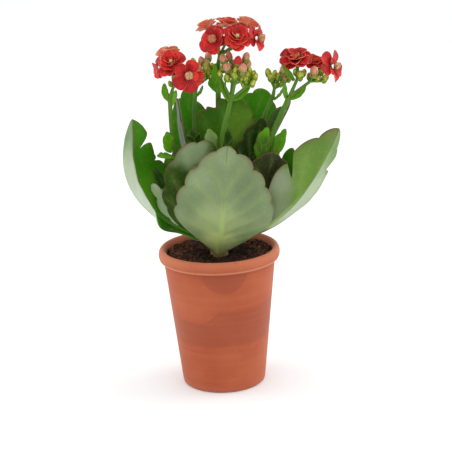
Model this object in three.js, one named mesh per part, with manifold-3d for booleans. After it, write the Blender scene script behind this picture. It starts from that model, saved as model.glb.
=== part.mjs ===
// A kalanchoe in flower, growing in a round clay pot.
// Millimetres, +Z up, origin at the middle of the pot's underside. -Y is the plant's front.

import * as THREE from "three";
import { mergeVertices } from "three/addons/utils/BufferGeometryUtils.js";
import Module from "manifold-3d";

const wasm = await Module();
wasm.setup();

// ---- Driving dimensions --------------------------------------------------------------------

const GAP = 0.3; // air left between two pieces that touch

const POT = {
  height: 105,
  footRadius: 31,
  footRound: 2.4, // rounding of the foot's edge
  neckRadius: 41.3, // body under the bead
  wall: 4,
  rimRadius: 45,
  rimDrop: 9.5, // height of the bead
  mouthRadius: 39.5,
  floor: 7,
  innerFootRadius: 26.5,
  drainRadius: 3,
  drainOffset: 14,
  drains: 3,
  sides: 32,
};

const SOIL = {
  top: 99,
  crumb: 0.8, // how far its crumbs rise and dip
  bank: 1.4, // how far it climbs towards the wall
  rings: 5,
};

// Thickness of a blade where it leaves its stem, along its midrib and at its edge.
const BLADE = { petiole: 3.4, rib: 2.0, margin: 1.0 };
const BRACT = { petiole: 1.7, rib: 1.3, margin: 0.7 };
const PETIOLE_HALF = 3.4; // half width of a leaf at its root
const VEIN_FOOT = 0.86; // where a side vein leaves the midrib, as a share of where it ends

const PETAL = { thick: 1.2, edge: 0.3, hollow: 0.12, rootOut: 1.4 };
const TUBE = { radius: 1.3, mouth: 2.3, length: 6 }; // the green cup under each bloom
const BUD = { radius: 2.3, length: 7.5 };
const CORE = { radius: 2.4, height: 2.6 }; // what a bloom's petals stand on
const TWIG = { root: 1.5, end: 1.2, bud: 0.9, bloom: 1.1 }; // radii of the thin flower stalks

// ---- Finishes ------------------------------------------------------------------------------

const finish = (color, roughness) =>
  new THREE.MeshStandardMaterial({ color, roughness, metalness: 0, side: THREE.FrontSide });

const clay = finish("#c8683f", 0.85);
const earth = finish("#3a2a20", 0.95);
const sage = finish("#839a6c", 0.55);
const green = finish("#3f7418", 0.45);
const dark = finish("#2c4a1c", 0.45);
const stemGreen = finish("#5d8a35", 0.5);
const red = finish("#c01f28", 0.5);
const cream = finish("#c9a070", 0.6);

// ---- Shared geometry -----------------------------------------------------------------------

const vec = (p) => new THREE.Vector3(...p);
const mix = THREE.MathUtils.lerp;
const clamp = THREE.MathUtils.clamp;
const rad = THREE.MathUtils.degToRad;

// A repeatable run of numbers from 0 to 1.
function draws(seed) {
  let state = seed * 2654435761;
  return () => {
    state = (Math.imul(state ^ (state >>> 15), 2246822519) + 3266489917) >>> 0;
    return ((state ^ (state >>> 13)) >>> 0) / 4294967296;
  };
}

// A closed geometry as a solid that can be joined and cut.
function solid(geometry) {
  const bare = geometry.clone();
  bare.deleteAttribute("normal");
  bare.deleteAttribute("uv");
  const merged = mergeVertices(bare, 1e-3);
  return new wasm.Manifold(
    new wasm.Mesh({
      numProp: 3,
      vertProperties: new Float32Array(merged.attributes.position.array),
      triVerts: new Uint32Array(merged.index.array),
    }),
  );
}

function geometryOf(body) {
  const { vertProperties, triVerts, numProp } = body.getMesh();
  const geometry = new THREE.BufferGeometry();
  const positions = new Float32Array((vertProperties.length / numProp) * 3);
  for (let i = 0; i < positions.length; i += 1) {
    positions[i] = vertProperties[Math.floor(i / 3) * numProp + (i % 3)];
  }
  geometry.setAttribute("position", new THREE.BufferAttribute(positions, 3));
  geometry.setIndex(new THREE.BufferAttribute(new Uint32Array(triVerts), 1));
  geometry.computeVertexNormals();
  return geometry;
}

const joined = (bodies) => bodies.reduce((whole, body) => whole.add(body));

// The largest piece of a body, without the scraps that a cut leaves.
function mainPiece(body) {
  const pieces = body.decompose();
  return pieces.reduce((best, piece) => (piece.volume() > best.volume() ? piece : best));
}

// Triangles gathered from quads, and closed into a solid.
class Skin {
  constructor() {
    this.points = [];
  }
  face(a, b, c) {
    this.points.push(...a, ...b, ...c);
  }
  quad(a, b, c, d, flip = false) {
    if (flip) {
      this.face(a, c, b);
      this.face(a, d, c);
    } else {
      this.face(a, b, c);
      this.face(a, c, d);
    }
  }
  solid() {
    const geometry = new THREE.BufferGeometry();
    geometry.setAttribute("position", new THREE.Float32BufferAttribute(this.points, 3));
    return solid(geometry);
  }
}

// A round rod through the given points, with a radius at each.
function rod(points, radii, { sides = 5, grow = 0 } = {}) {
  const spots = points.map((p) => (p.isVector3 ? p.clone() : vec(p)));
  const last = spots.length - 1;
  const ahead = spots.map((p, i) =>
    spots[Math.min(i + 1, last)].clone().sub(spots[Math.max(i - 1, 0)]).normalize(),
  );
  spots[0].addScaledVector(ahead[0], -grow);
  spots[last].addScaledVector(ahead[last], grow);
  const across = new THREE.Vector3(0.31, 0.95, 0.05);
  const rings = spots.map((p, i) => {
    across.addScaledVector(ahead[i], -across.dot(ahead[i])).normalize();
    const other = ahead[i].clone().cross(across);
    const ring = [];
    for (let j = 0; j < sides; j += 1) {
      const turn = (2 * Math.PI * j) / sides;
      const radius = radii[i] + grow;
      ring.push(
        p
          .clone()
          .addScaledVector(across, radius * Math.cos(turn))
          .addScaledVector(other, radius * Math.sin(turn)),
      );
    }
    return ring;
  });
  const skin = new Skin();
  for (let j = 0; j < sides; j += 1) {
    const next = (j + 1) % sides;
    for (let i = 0; i < last; i += 1) {
      skin.quad(rings[i][j], rings[i][next], rings[i + 1][next], rings[i + 1][j]);
    }
  }
  for (let j = 1; j + 1 < sides; j += 1) {
    skin.face(rings[0][0], rings[0][j + 1], rings[0][j]);
    skin.face(rings[last][0], rings[last][j], rings[last][j + 1]);
  }
  return skin.solid();
}

// A stem along a smooth curve, tapering through a list of radii.
function stem(path, radii, { steps = 6, ...shape } = {}) {
  const points = new THREE.CatmullRomCurve3(path.map(vec)).getSpacedPoints(steps);
  const thick = points.map((_, i) => {
    const along = (i / steps) * (radii.length - 1);
    const k = Math.min(Math.floor(along), radii.length - 2);
    return mix(radii[k], radii[k + 1], along - k);
  });
  return rod(points, thick, shape);
}

// ---- Leaf ----------------------------------------------------------------------------------

// Half width of a leaf at l, from 0 at the root to 1 at the tip.
function halfWidth(leaf, l) {
  const { width, widest = 0.48, swell = 1.25, round = 0.55, root = PETIOLE_HALF } = leaf;
  if (l <= widest) {
    return mix(root, width, Math.sin((Math.PI / 2) * (l / widest)) ** swell);
  }
  return width * Math.max(0, 1 - ((l - widest) / (1 - widest)) ** 2) ** round;
}

// How far along the leaf the outline has come at u, evenly spaced round its edge.
function reach(leaf, u) {
  const { widest = 0.48 } = leaf;
  const turn = widest / (widest + (1 - widest) * (Math.PI / 2));
  if (u <= turn) return widest * (u / turn);
  return mix(widest, 1, Math.sin((Math.PI / 2) * ((u - turn) / (1 - turn))));
}

// How much of the notches listed for one side falls at u.
const notch = (list, sign, u) =>
  list
    .filter(([side]) => side === sign)
    .reduce((sum, [, at, depth, breadth]) => {
      return sum + depth * Math.max(0, 1 - ((u - at) / breadth) ** 2) ** 2;
    }, 0);

// The same for slits, which are narrow and part two round lobes.
const slit = (list, sign, u) =>
  list
    .filter(([side]) => side === sign)
    .reduce((sum, [, at, depth, breadth]) => {
      const shut = 1 - Math.min(Math.abs(u - at) / breadth, 1);
      return sum + depth * (1 - Math.sqrt(1 - shut ** 2));
    }, 0);

// A point of the scalloped edge, on one side: how far along, and how far out. A nick is drawn
// straight in from the edge, and a cut or a slit follows the side vein that ends there.
function edgePoint(leaf, u, sign) {
  const { lobes = 4, depth = 2.8, smooth = 0.35, cuts = [], slits = [], nicks = [] } = leaf;
  const l = reach(leaf, u);
  const h = halfWidth(leaf, l);
  if (u >= 1) return { l, h };
  const beat = Math.abs(Math.cos((Math.PI * lobes * (1 - u)) / (1 - smooth)));
  const fade = clamp((u - smooth) * 6, 0, 1);
  const pull = depth * fade * (1 - beat ** 0.6) + notch(nicks, sign, u);
  const step = 1e-3;
  const ahead = reach(leaf, Math.min(u + step, 1));
  const behind = reach(leaf, Math.max(u - step, 0));
  const run = new THREE.Vector2(
    (ahead - behind) * leaf.length,
    halfWidth(leaf, ahead) - halfWidth(leaf, behind),
  ).normalize();
  const kept = 1 - notch(cuts, sign, u) - slit(slits, sign, u);
  const foot = VEIN_FOOT * u ** 1.1;
  return {
    l: mix(foot, l + (run.y * pull) / leaf.length, kept),
    h: Math.max(h - run.x * pull, 0) * kept,
  };
}

// Where the edge is sampled: a few rows up the plain part, then three to each lobe, and the
// bottom of each deep notch.
function edgeRows(leaf) {
  const { lobes = 4, smooth = 0.35, plain = 3, deep = [] } = leaf;
  const rows = [];
  for (let i = 0; i <= plain; i += 1) rows.push((smooth * i) / plain);
  if (lobes === 0) return [...rows, 0.6, 0.85, 1];
  for (let k = Math.floor(lobes); k > 0; k -= 1) {
    for (const offset of [0.25, -0.25, -0.5]) {
      const u = 1 - ((k + offset) / lobes) * (1 - smooth);
      if (u > smooth + 0.02) rows.push(u);
    }
  }
  return [...rows, ...deep, 1 - (0.2 / lobes) * (1 - smooth), 1].sort((a, b) => a - b);
}

// The leaf's middle surface: l along the midrib, s out to the side, in millimetres.
// Each half rises from the midrib by its fold (another near the root, where the leaf twists),
// rolls on by its curl, and waves near its edge.
function leafSurface(leaf) {
  const rib = new THREE.QuadraticBezierCurve3(vec(leaf.base), vec(leaf.bend), vec(leaf.tip));
  const { fold = [12, 12], lowFold = fold, curl = [0, 0], wave = 0, waves = 3, width } = leaf;
  const upper = vec(leaf.face).normalize();
  return (l, s) => {
    const t = clamp(l, 0, 1);
    const along = rib.getTangent(t);
    const normal = upper.clone().addScaledVector(along, -upper.dot(along)).normalize();
    const side = normal.clone().cross(along);
    const k = s >= 0 ? 0 : 1;
    const out = Math.abs(s) / width;
    const rise = rad(mix(lowFold[k], fold[k], THREE.MathUtils.smoothstep(l, 0.16, 0.34)));
    const bendBy = rad(curl[k]) || 1e-6;
    const across = (Math.sin(rise + bendBy * out) - Math.sin(rise)) / bendBy;
    const up = (Math.cos(rise) - Math.cos(rise + bendBy * out)) / bendBy;
    const ripple = wave * out ** 2 * Math.sin(2 * Math.PI * waves * l + 2 * k);
    return rib
      .getPoint(t)
      .addScaledVector(along, (l - t) * leaf.length)
      .addScaledVector(side, Math.sign(s) * across * width)
      .addScaledVector(normal, up * width + ripple);
  };
}

function leafSolid(spec) {
  const rib = new THREE.QuadraticBezierCurve3(vec(spec.base), vec(spec.bend), vec(spec.tip));
  const leaf = { ...spec, length: rib.getLength() };
  const surface = leafSurface(leaf);
  const { columns = 1, blade = BLADE, halves = [1, 1] } = leaf;
  const rows = edgeRows(leaf);
  const last = rows.length - 1;
  const grid = [1, -1].map((sign, side) =>
    rows.map((u, i) => {
      const edge = edgePoint(leaf, u, sign);
      const foot = VEIN_FOOT * u ** 1.1;
      const cells = [];
      for (let j = 0; j <= columns; j += 1) {
        const v = j / columns;
        const l = mix(foot, edge.l, v);
        const s = i === last ? 0 : sign * halves[side] * edge.h * v;
        const out = Math.abs(s) / leaf.width;
        const heavy = Math.max(0, 1 - l / 0.3) ** 2;
        const half = mix(mix(blade.rib, blade.margin, Math.min(out, 1)), blade.petiole, heavy) / 2;
        const here = surface(l, s);
        const nudge = s === 0 ? 0.5 : Math.sign(s) * 0.01;
        const aside = surface(l, s + nudge).sub(surface(l, s === 0 ? -nudge : s));
        const ahead = surface(l + 0.005, s).sub(surface(l - 0.005, s));
        const normal = ahead.cross(aside).multiplyScalar(s < 0 ? 1 : -1).normalize();
        cells.push({
          top: here.clone().addScaledVector(normal, half),
          under: here.clone().addScaledVector(normal, -half),
        });
      }
      return cells;
    }),
  );
  const skin = new Skin();
  grid.forEach((side, k) => {
    const flip = k === 0;
    for (let i = 0; i < last; i += 1) {
      for (let j = 0; j < columns; j += 1) {
        const [a, b, c, d] = [side[i][j], side[i][j + 1], side[i + 1][j + 1], side[i + 1][j]];
        skin.quad(a.top, b.top, c.top, d.top, !flip);
        skin.quad(a.under, b.under, c.under, d.under, flip);
      }
      const low = side[i][columns];
      const high = side[i + 1][columns];
      skin.quad(low.top, high.top, high.under, low.under, flip);
    }
    for (let j = 0; j < columns; j += 1) {
      skin.quad(side[0][j].top, side[0][j + 1].top, side[0][j + 1].under, side[0][j].under, flip);
    }
  });
  return skin.solid();
}

// ---- Pot -----------------------------------------------------------------------------------

const lathe = (profile) =>
  new THREE.LatheGeometry(
    profile.map(([r, z]) => new THREE.Vector2(r, z)),
    POT.sides,
  ).rotateX(Math.PI / 2);

function pot() {
  const bead = {
    r: (POT.rimRadius + POT.mouthRadius) / 2,
    z: POT.height - POT.rimDrop / 2,
    across: (POT.rimRadius - POT.mouthRadius) / 2,
    up: POT.rimDrop / 2,
  };
  const rim = [];
  for (let turn = -105; turn <= 180; turn += 35.5) {
    rim.push([
      bead.r + bead.across * Math.cos(rad(turn)),
      bead.z + bead.up * Math.sin(rad(turn)),
    ]);
  }
  const wall = lathe([
    [0, 0],
    [POT.footRadius - POT.footRound, 0],
    [POT.footRadius - 0.3 * POT.footRound, 0.3 * POT.footRound],
    [POT.footRadius, POT.footRound],
    ...rim,
    [POT.neckRadius - POT.wall, POT.height - POT.rimDrop - 2],
    [POT.innerFootRadius, POT.floor + 3],
    [POT.innerFootRadius - 3, POT.floor],
    [0, POT.floor],
  ]);
  const holes = [];
  for (let i = 0; i < POT.drains; i += 1) {
    const turn = (2 * Math.PI * i) / POT.drains + Math.PI / 2;
    const hole = new THREE.CylinderGeometry(POT.drainRadius, POT.drainRadius, 3 * POT.floor, 10);
    hole.rotateX(Math.PI / 2);
    hole.translate(POT.drainOffset * Math.cos(turn), POT.drainOffset * Math.sin(turn), 0);
    holes.push(solid(hole));
  }
  return solid(wall).subtract(joined(holes));
}

// ---- Crown: the woody stems that the leaves and flower stalks grow from ---------------------

const CROWN = [
  { path: [[0, -3, 74], [0, -3, 101], [1, -1, 125], [3, 2, 148]], radii: [6, 6.6, 5.4, 3.6] },
  { path: [[-1, -2, 102], [-9, -1, 112], [-14, 1, 126], [-17, 2, 140]], radii: [4.6, 4.2, 3.6, 3] },
  { path: [[1, -2, 102], [9, 0, 113], [16, 2, 127], [20, 3, 141]], radii: [4.6, 4.2, 3.8, 3.2] },
  { path: [[0, 0, 103], [0, 10, 114], [-1, 16, 128], [-1, 18, 146]], radii: [4.6, 4.2, 3.6, 3] },
];

const crown = (grow = 0) =>
  joined(CROWN.map(({ path, radii }) => stem(path, radii, { sides: 7, steps: 5, grow })));

const aroundCrown = crown(GAP);

// A leaf or stalk ends where it meets the crown.
const seated = (body) => mainPiece(body.subtract(aroundCrown));

// ---- Soil ----------------------------------------------------------------------------------

function soil() {
  const seat = 1.5 * GAP;
  const lip = POT.mouthRadius - seat;
  const profile = [
    [0, POT.floor + GAP],
    [POT.innerFootRadius - 3 - GAP, POT.floor + GAP],
    [POT.innerFootRadius - GAP, POT.floor + 3],
    [POT.neckRadius - POT.wall - seat, POT.height - POT.rimDrop - 2],
    [lip, SOIL.top],
  ];
  for (let i = SOIL.rings - 1; i >= 0; i -= 1) profile.push([(lip * i) / SOIL.rings, SOIL.top]);
  const bed = lathe(profile);
  const spots = bed.attributes.position;
  for (let i = 0; i < spots.count; i += 1) {
    const x = spots.getX(i);
    const y = spots.getY(i);
    if (spots.getZ(i) < SOIL.top - 0.01) continue;
    const crumbs = Math.sin(0.42 * x + 1) * Math.cos(0.38 * y) + 0.5 * Math.sin(0.8 * (x - y));
    const bank = SOIL.bank * (Math.hypot(x, y) / lip) ** 2;
    spots.setZ(i, SOIL.top + bank + SOIL.crumb * crumbs);
  }
  return solid(bed).subtract(aroundCrown);
}

// ---- Leaves --------------------------------------------------------------------------------
// base, bend and tip steer the midrib; face is the way the upper side looks; width is half the
// blade, and halves scales each side of it; fold is how far each side rises from the midrib; cuts,
// slits and nicks are its deep notches, each as side, place on the edge, depth and breadth.

const LEAVES = [
  {
    name: "leaf_front", finish: sage,
    base: [0, -6, 102], bend: [3, -44, 132], tip: [9, -40, 190],
    face: [0.05, 1, 0.3], width: 36, widest: 0.46, swell: 1.4, round: 0.62, halves: [1.04, 1],
    lobes: 5, depth: 2.5, columns: 2, fold: [5, 5], curl: [12, 12],
  },
  {
    name: "leaf_front_left", finish: green,
    base: [-1, -6, 113], bend: [-28, -22, 138], tip: [-2, -15, 188],
    face: [0, 1, 0.25], width: 25, widest: 0.62, round: 0.45, halves: [1.1, 1.02], lobes: 4,
    fold: [4, 4],
  },
  {
    name: "leaf_left_outer", finish: green,
    base: [-11, -1, 111], bend: [-86, -6, 142], tip: [-59, 2, 203],
    face: [0.9, -0.35, 0.2], width: 27, round: 0.45, halves: [1, 1.2], lobes: 2, depth: 2.4,
    columns: 2, fold: [44, 40], lowFold: [-5, 40], deep: [0.72, 0.752, 0.772, 0.792, 0.825],
    cuts: [[1, 0.13, 0.8, 0.2]], slits: [[-1, 0.772, 0.42, 0.055]],
  },
  {
    name: "leaf_left_inner", finish: sage,
    base: [-10, -4, 119], bend: [-31, -8, 130], tip: [-47, -8, 157],
    face: [-0.3, 0.9, 0.4], width: 9, root: 2.6, swell: 2, lobes: 2, fold: [10, 10],
  },
  {
    name: "leaf_left_dark", finish: dark,
    base: [-12, 0, 124], bend: [-31, -2, 133.5], tip: [-45, 0, 166],
    face: [0.3, -0.9, 0.3], width: 7, root: 2.2, swell: 2, lobes: 2, fold: [10, 10],
  },
  {
    name: "leaf_right_outer", finish: green,
    base: [8, -2, 110], bend: [57, -14, 119], tip: [89, -16, 194],
    face: [-0.45, 0.82, 0.34], width: 28, widest: 0.62, swell: 2.4, round: 0.6, lobes: 3,
    depth: 3, columns: 2, fold: [27, 27], wave: 1.2, deep: [0.6, 0.64, 0.68],
    cuts: [[-1, 0.64, 0.42, 0.03], [-1, 0.45, 0.15, 0.2]], nicks: [[1, 0.665, 8, 0.05]],
  },
  {
    name: "leaf_right_dark", finish: dark,
    base: [6, -2, 119], bend: [36, -7, 137], tip: [42, -7, 176],
    face: [0.1, 0.9, 0.4], width: 18, widest: 0.6, round: 0.45, lobes: 3, depth: 1.6,
    fold: [10, 10],
  },
  {
    name: "leaf_right_small", finish: green,
    base: [15, 4, 121], bend: [46, 14, 131], tip: [57, 9, 175],
    face: [-0.3, -0.8, 0.4], width: 13, root: 2.6, lobes: 2, fold: [10, 10],
  },
  {
    name: "leaf_centre_back", finish: green,
    base: [2, 4, 134], bend: [4, 17, 165], tip: [18, 17, 213],
    face: [0, -0.95, 0.3], width: 24, widest: 0.7, round: 0.5, halves: [1.1, 0.85], lobes: 3,
    depth: 2.2, fold: [2, 0], nicks: [[1, 0.82, 4.5, 0.06], [1, 0.73, -1.2, 0.08]],
    slits: [[-1, 0.88, 0.09, 0.05], [-1, 0.77, 0.1, 0.06]],
  },
  {
    name: "leaf_back_right", finish: green,
    base: [3, 18, 130], bend: [24, 38, 170], tip: [38, 45, 213],
    face: [-0.1, -0.9, 0.4], width: 18, widest: 0.7, round: 0.5, lobes: 3, fold: [5, 5],
  },
  {
    name: "leaf_back_left", finish: green,
    base: [-4, 18, 131], bend: [-19, 34, 170], tip: [-19, 33, 218],
    face: [0.1, -0.9, 0.3], width: 15, widest: 0.62, lobes: 3, fold: [5, 5],
  },
  {
    name: "leaf_left_edge", finish: dark,
    base: [-13, 5, 137], bend: [-22, 20, 171], tip: [-26, 17, 214],
    face: [-1, -0.27, 0.2], width: 9, lobes: 2, fold: [10, 10],
  },
  {
    name: "leaf_right_back_dark", finish: dark,
    base: [5, 1, 137], bend: [24, 14, 160], tip: [36, 9, 198.5],
    face: [0.1, -0.95, 0.1], width: 13, widest: 0.6, round: 0.55, lobes: 3, fold: [8, 8],
  },
  {
    name: "leaf_right_behind", finish: dark,
    base: [15, 8, 129], bend: [34, 33, 166], tip: [57, 22, 208],
    face: [-0.8, -0.5, 0.4], width: 12, lobes: 3, fold: [25, 25],
    nicks: [[-1, 0.8, -4, 0.2]],
  },
  {
    name: "leaf_back_low_left", finish: green,
    base: [-4, 11, 113], bend: [-28, 42, 126], tip: [-30, 50, 168],
    face: [0.4, -0.9, 0.3], width: 22, lobes: 4, fold: [12, 12],
  },
  {
    name: "leaf_back_low_right", finish: green,
    base: [3, 7, 110], bend: [28, 42, 124], tip: [38, 50, 164],
    face: [-0.5, -0.9, 0.3], width: 22, lobes: 4, fold: [12, 12],
  },
  {
    name: "leaf_back_middle", finish: green,
    base: [0, 17, 123], bend: [2, 48, 150], tip: [6, 54, 192],
    face: [0, -0.9, 0.3], width: 18, lobes: 3, fold: [10, 10], wave: 1,
  },
];

// ---- Flower stalks -------------------------------------------------------------------------

// The branch end that a bud or bloom hangs from: the nearest one.
const nearest = (ends, at) =>
  ends.map(vec).reduce((best, end) => (end.distanceTo(at) < best.distanceTo(at) ? end : best));

// A closed bud and its thin stalk, pointing up and away from where it branches off.
function bud({ at, size = 1 }, branches) {
  const middle = vec(at);
  const fork = nearest(branches, middle);
  const axis = middle.clone().sub(fork).normalize().add(new THREE.Vector3(0, 0, 1)).normalize();
  const along = (share) => middle.clone().addScaledVector(axis, share * BUD.length * size);
  const girth = BUD.radius * size;
  return rod(
    [fork, along(-0.45), along(-0.1), along(0.28), along(0.5)],
    [TWIG.bud, TWIG.bud, girth, 0.8 * girth, 0.25 * girth],
  );
}

// The pale green cup under a bloom, on its stalk.
function cup({ at, facing }, branches) {
  const mouth = vec(at).addScaledVector(vec(facing).normalize(), -GAP);
  const below = (drop) => mouth.clone().addScaledVector(vec(facing).normalize(), -drop);
  const fork = nearest(branches, mouth);
  return rod(
    [fork, below(TUBE.length + 2.5), below(TUBE.length), mouth],
    [TWIG.bloom, TWIG.bloom, TUBE.radius, TUBE.mouth],
  );
}

const bract = (base, bend, tip, face, width = 3) => ({
  base, bend, tip, face, width, root: 1.2, lobes: 0, plain: 1, blade: BRACT,
});
const sprig = (base, bend, tip, face, width = 6) => ({
  base, bend, tip, face, width, root: 1.6, lobes: 2, plain: 1, blade: BRACT,
});

const STALKS = [
  {
    name: "stalk_centre_front",
    path: [[3, 2, 145], [1, -5, 168], [5, -7, 187], [13, -8, 216]],
    radii: [2.6, 2.2, 1.9, 1.7],
    branches: [[9, -9, 226], [16, -12, 228], [24, -9, 225], [15, -5, 231]],
    leaves: [
      sprig([2, -6, 176], [-3, -7, 184], [-4, -9, 196], [0.2, -0.9, 0.4]),
      sprig([4, -5, 172], [9, 0, 180], [10, 0, 194], [-0.2, -0.9, 0.4]),
      bract([12, -8, 215], [6, -10, 222], [5, -10, 233], [0.8, -0.5, 0.3]),
      bract([14, -8, 216], [20, -8, 217], [27, -8, 225], [-0.3, -0.7, 0.7]),
    ],
    buds: [
      { at: [9, -6, 245], size: 1.2 }, { at: [13, -4, 247] }, { at: [11, -12, 240], size: 1.1 },
      { at: [19, -11, 244], size: 1.25 }, { at: [25, -6, 246], size: 1.1 },
      { at: [22, -14, 239], size: 1.25 }, { at: [6, -8, 235], size: 0.8 },
      { at: [11, -14, 233], size: 0.8 }, { at: [16, -17, 235], size: 0.85 },
      { at: [24, -11, 231], size: 0.8 }, { at: [27, -5, 236], size: 0.85 },
      { at: [31, -8, 232], size: 0.85 }, { at: [29, -11, 228], size: 0.8 },
    ],
  },
  {
    name: "stalk_centre_back",
    path: [[-1, 18, 141], [3, 24, 175], [4, 21, 213], [5, 8, 240]],
    radii: [2.8, 2.4, 2.1, 1.8],
    branches: [[6, 5, 246]],
    leaves: [sprig([4, 19, 217], [0, 4, 224], [3, 3, 241], [-0.3, -0.9, 0.2], 5)],
    buds: [],
  },
  {
    name: "stalk_left_front",
    path: [[-17, 2, 136], [-25, 0, 164], [-30, 0, 187], [-31, -2, 217]],
    radii: [2.4, 2, 1.8, 1.6],
    branches: [[-28, -3, 226]],
    leaves: [
      bract([-31, -2, 216], [-36, -3, 221], [-34, -2, 229], [0.5, -0.8, 0.3]),
      bract([-30, -2, 213], [-27, -4, 217], [-26, -4, 224], [-0.6, -0.7, 0.3]),
      sprig([-31, 0, 178], [-35, -3, 184], [-34, -4, 194], [0.5, -0.8, 0.2], 6),
      sprig([-30, 0, 174], [-36, -5, 175], [-42, -8, 177], [0.2, -0.3, 0.9], 5),
    ],
    buds: [],
  },
  {
    name: "stalk_left_back",
    path: [[1, 1, 142], [-8, 3, 160], [-12, 4, 177], [-14, 6, 199], [-12, 8, 224]],
    radii: [2.2, 2, 1.8, 1.7, 1.5],
    branches: [[-9, 8, 229], [-3, 8, 230]],
    leaves: [
      sprig([-12, 4, 181], [-16, 0, 186], [-16, 1, 194], [0.1, -0.9, 0.3]),
      bract([-12, 8, 217], [-8, 8, 218], [-7, 10, 224], [-0.6, -0.4, 0.7], 2),
    ],
    buds: [
      { at: [-13, 10, 241] }, { at: [-7, 13, 241], size: 1.1 }, { at: [-2, 15, 244], size: 1.1 },
      { at: [-4, 5, 238], size: 1.05 }, { at: [0, 13, 236], size: 1.1 }, { at: [-9, 3, 237] },
    ],
  },
  {
    name: "stalk_right_front",
    path: [[20, 3, 137], [34, -1, 169], [46, -3, 197], [55, -2, 215]],
    radii: [2.8, 2.5, 2.2, 2],
    branches: [[61, -3, 228], [70, -3, 226]],
    leaves: [
      sprig([33, 0, 168], [33, -3, 180], [39, -3, 194], [-0.1, -0.9, 0.3]),
      sprig([35, 0, 169], [44, 2, 172], [52, 3, 191], [-0.4, -0.9, 0.2]),
      bract([54, -2, 213], [50, -3, 219], [52, -3, 227], [0.7, -0.6, 0.3]),
      bract([55, -2, 214], [64, -3, 215], [67, -4, 224], [-0.4, -0.6, 0.7]),
      bract([59, -3, 227], [54, -4, 234], [50, -9, 240], [0.6, -0.7, 0.3], 2.5),
    ],
    buds: [
      { at: [73, -8, 234], size: 1.25 }, { at: [63, -7, 232] }, { at: [81, -3, 228] },
    ],
  },
  {
    name: "stalk_right_back",
    path: [[1, 17, 137], [14, 21, 156], [27, 19, 176], [37, 15, 198], [44, 12, 214]],
    radii: [2.3, 2.1, 1.9, 1.7, 1.5],
    branches: [[45, 12, 219]],
    leaves: [bract([44, 12, 211], [50, 12, 213], [52, 13, 220], [-0.6, -0.3, 0.7], 2)],
    buds: [
      { at: [41, 12, 231] }, { at: [42, 7, 228], size: 0.8 }, { at: [46, 16, 229], size: 0.9 },
      { at: [50, 17, 228], size: 0.9 }, { at: [56, 14, 226], size: 0.9 },
      { at: [52, 9, 233], size: 1.2 },
    ],
  },
];

// ---- Blooms --------------------------------------------------------------------------------
// Each layer is [petals, lift in degrees, length as a share of the radius].

const DOUBLE = [[6, 4, 1], [5, 26, 0.8], [3, 46, 0.6]];
const CLOSED = [[6, 4, 1], [4, 30, 0.8], [3, 64, 0.5]];
const HALF = [[6, 6, 1], [4, 36, 0.7]];
const SINGLE = [[5, 3, 1], [3, 40, 0.55]];

// Where a petal's width is given: how far out, and the share of its full half width.
const OUTER = [[0.4, 0.72], [0.8, 1]];
const INNER = [[0.65, 1]];

const BLOOMS = [
  {
    name: "bloom_top_left", stalk: "stalk_centre_back", at: [3, -9, 260], facing: [-0.3, -0.9, 0.3],
    radius: 10.5, layers: HALF, heart: 3,
  },
  {
    name: "bloom_top_front", stalk: "stalk_centre_back", at: [19, -10, 260],
    facing: [0.1, -0.75, 0.65], radius: 10.8, layers: DOUBLE, heart: 1.8,
  },
  {
    name: "bloom_top_right", stalk: "stalk_centre_back", at: [32, -3, 259],
    facing: [0.85, -0.5, 0.1], radius: 10, layers: SINGLE, heart: 3,
  },
  {
    name: "bloom_top_back_left", stalk: "stalk_centre_back", at: [-1, 8, 265],
    facing: [-0.4, 0.3, 0.85], radius: 8, layers: HALF,
  },
  {
    name: "bloom_top_back", stalk: "stalk_centre_back", at: [12, 8, 266],
    facing: [0, 0.3, 1], radius: 11, layers: CLOSED,
  },
  {
    name: "bloom_top_back_right", stalk: "stalk_centre_back", at: [26, 8, 265],
    facing: [0.4, 0.5, 0.8], radius: 9, layers: HALF,
  },
  {
    name: "bloom_left_front", stalk: "stalk_left_front", at: [-17, -12, 236],
    facing: [0.2, -0.95, 0.1], radius: 11, layers: SINGLE, heart: 3,
  },
  {
    name: "bloom_left_double", stalk: "stalk_left_front", at: [-28, -4, 243],
    facing: [-0.1, -0.8, 0.6], radius: 11, layers: DOUBLE, heart: 1.8,
  },
  {
    name: "bloom_left_side", stalk: "stalk_left_front", at: [-37, 1, 240],
    facing: [-0.9, -0.3, 0.2], radius: 8, layers: SINGLE,
  },
  {
    name: "bloom_left_back", stalk: "stalk_left_front", at: [-30, 9, 245],
    facing: [-0.2, 0.5, 0.8], radius: 10, layers: HALF,
  },
  {
    name: "bloom_right_double", stalk: "stalk_right_front", at: [61, -3, 242],
    facing: [-0.1, -0.4, 0.9], radius: 12, layers: CLOSED,
  },
  {
    name: "bloom_right_middle", stalk: "stalk_right_front", at: [74, 3, 238],
    facing: [0.3, -0.3, 0.9], radius: 8, layers: HALF,
  },
  {
    name: "bloom_right_side", stalk: "stalk_right_front", at: [86, 0, 236],
    facing: [0.8, -0.55, 0.15], radius: 11, layers: SINGLE, heart: 2.6,
  },
];

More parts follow.
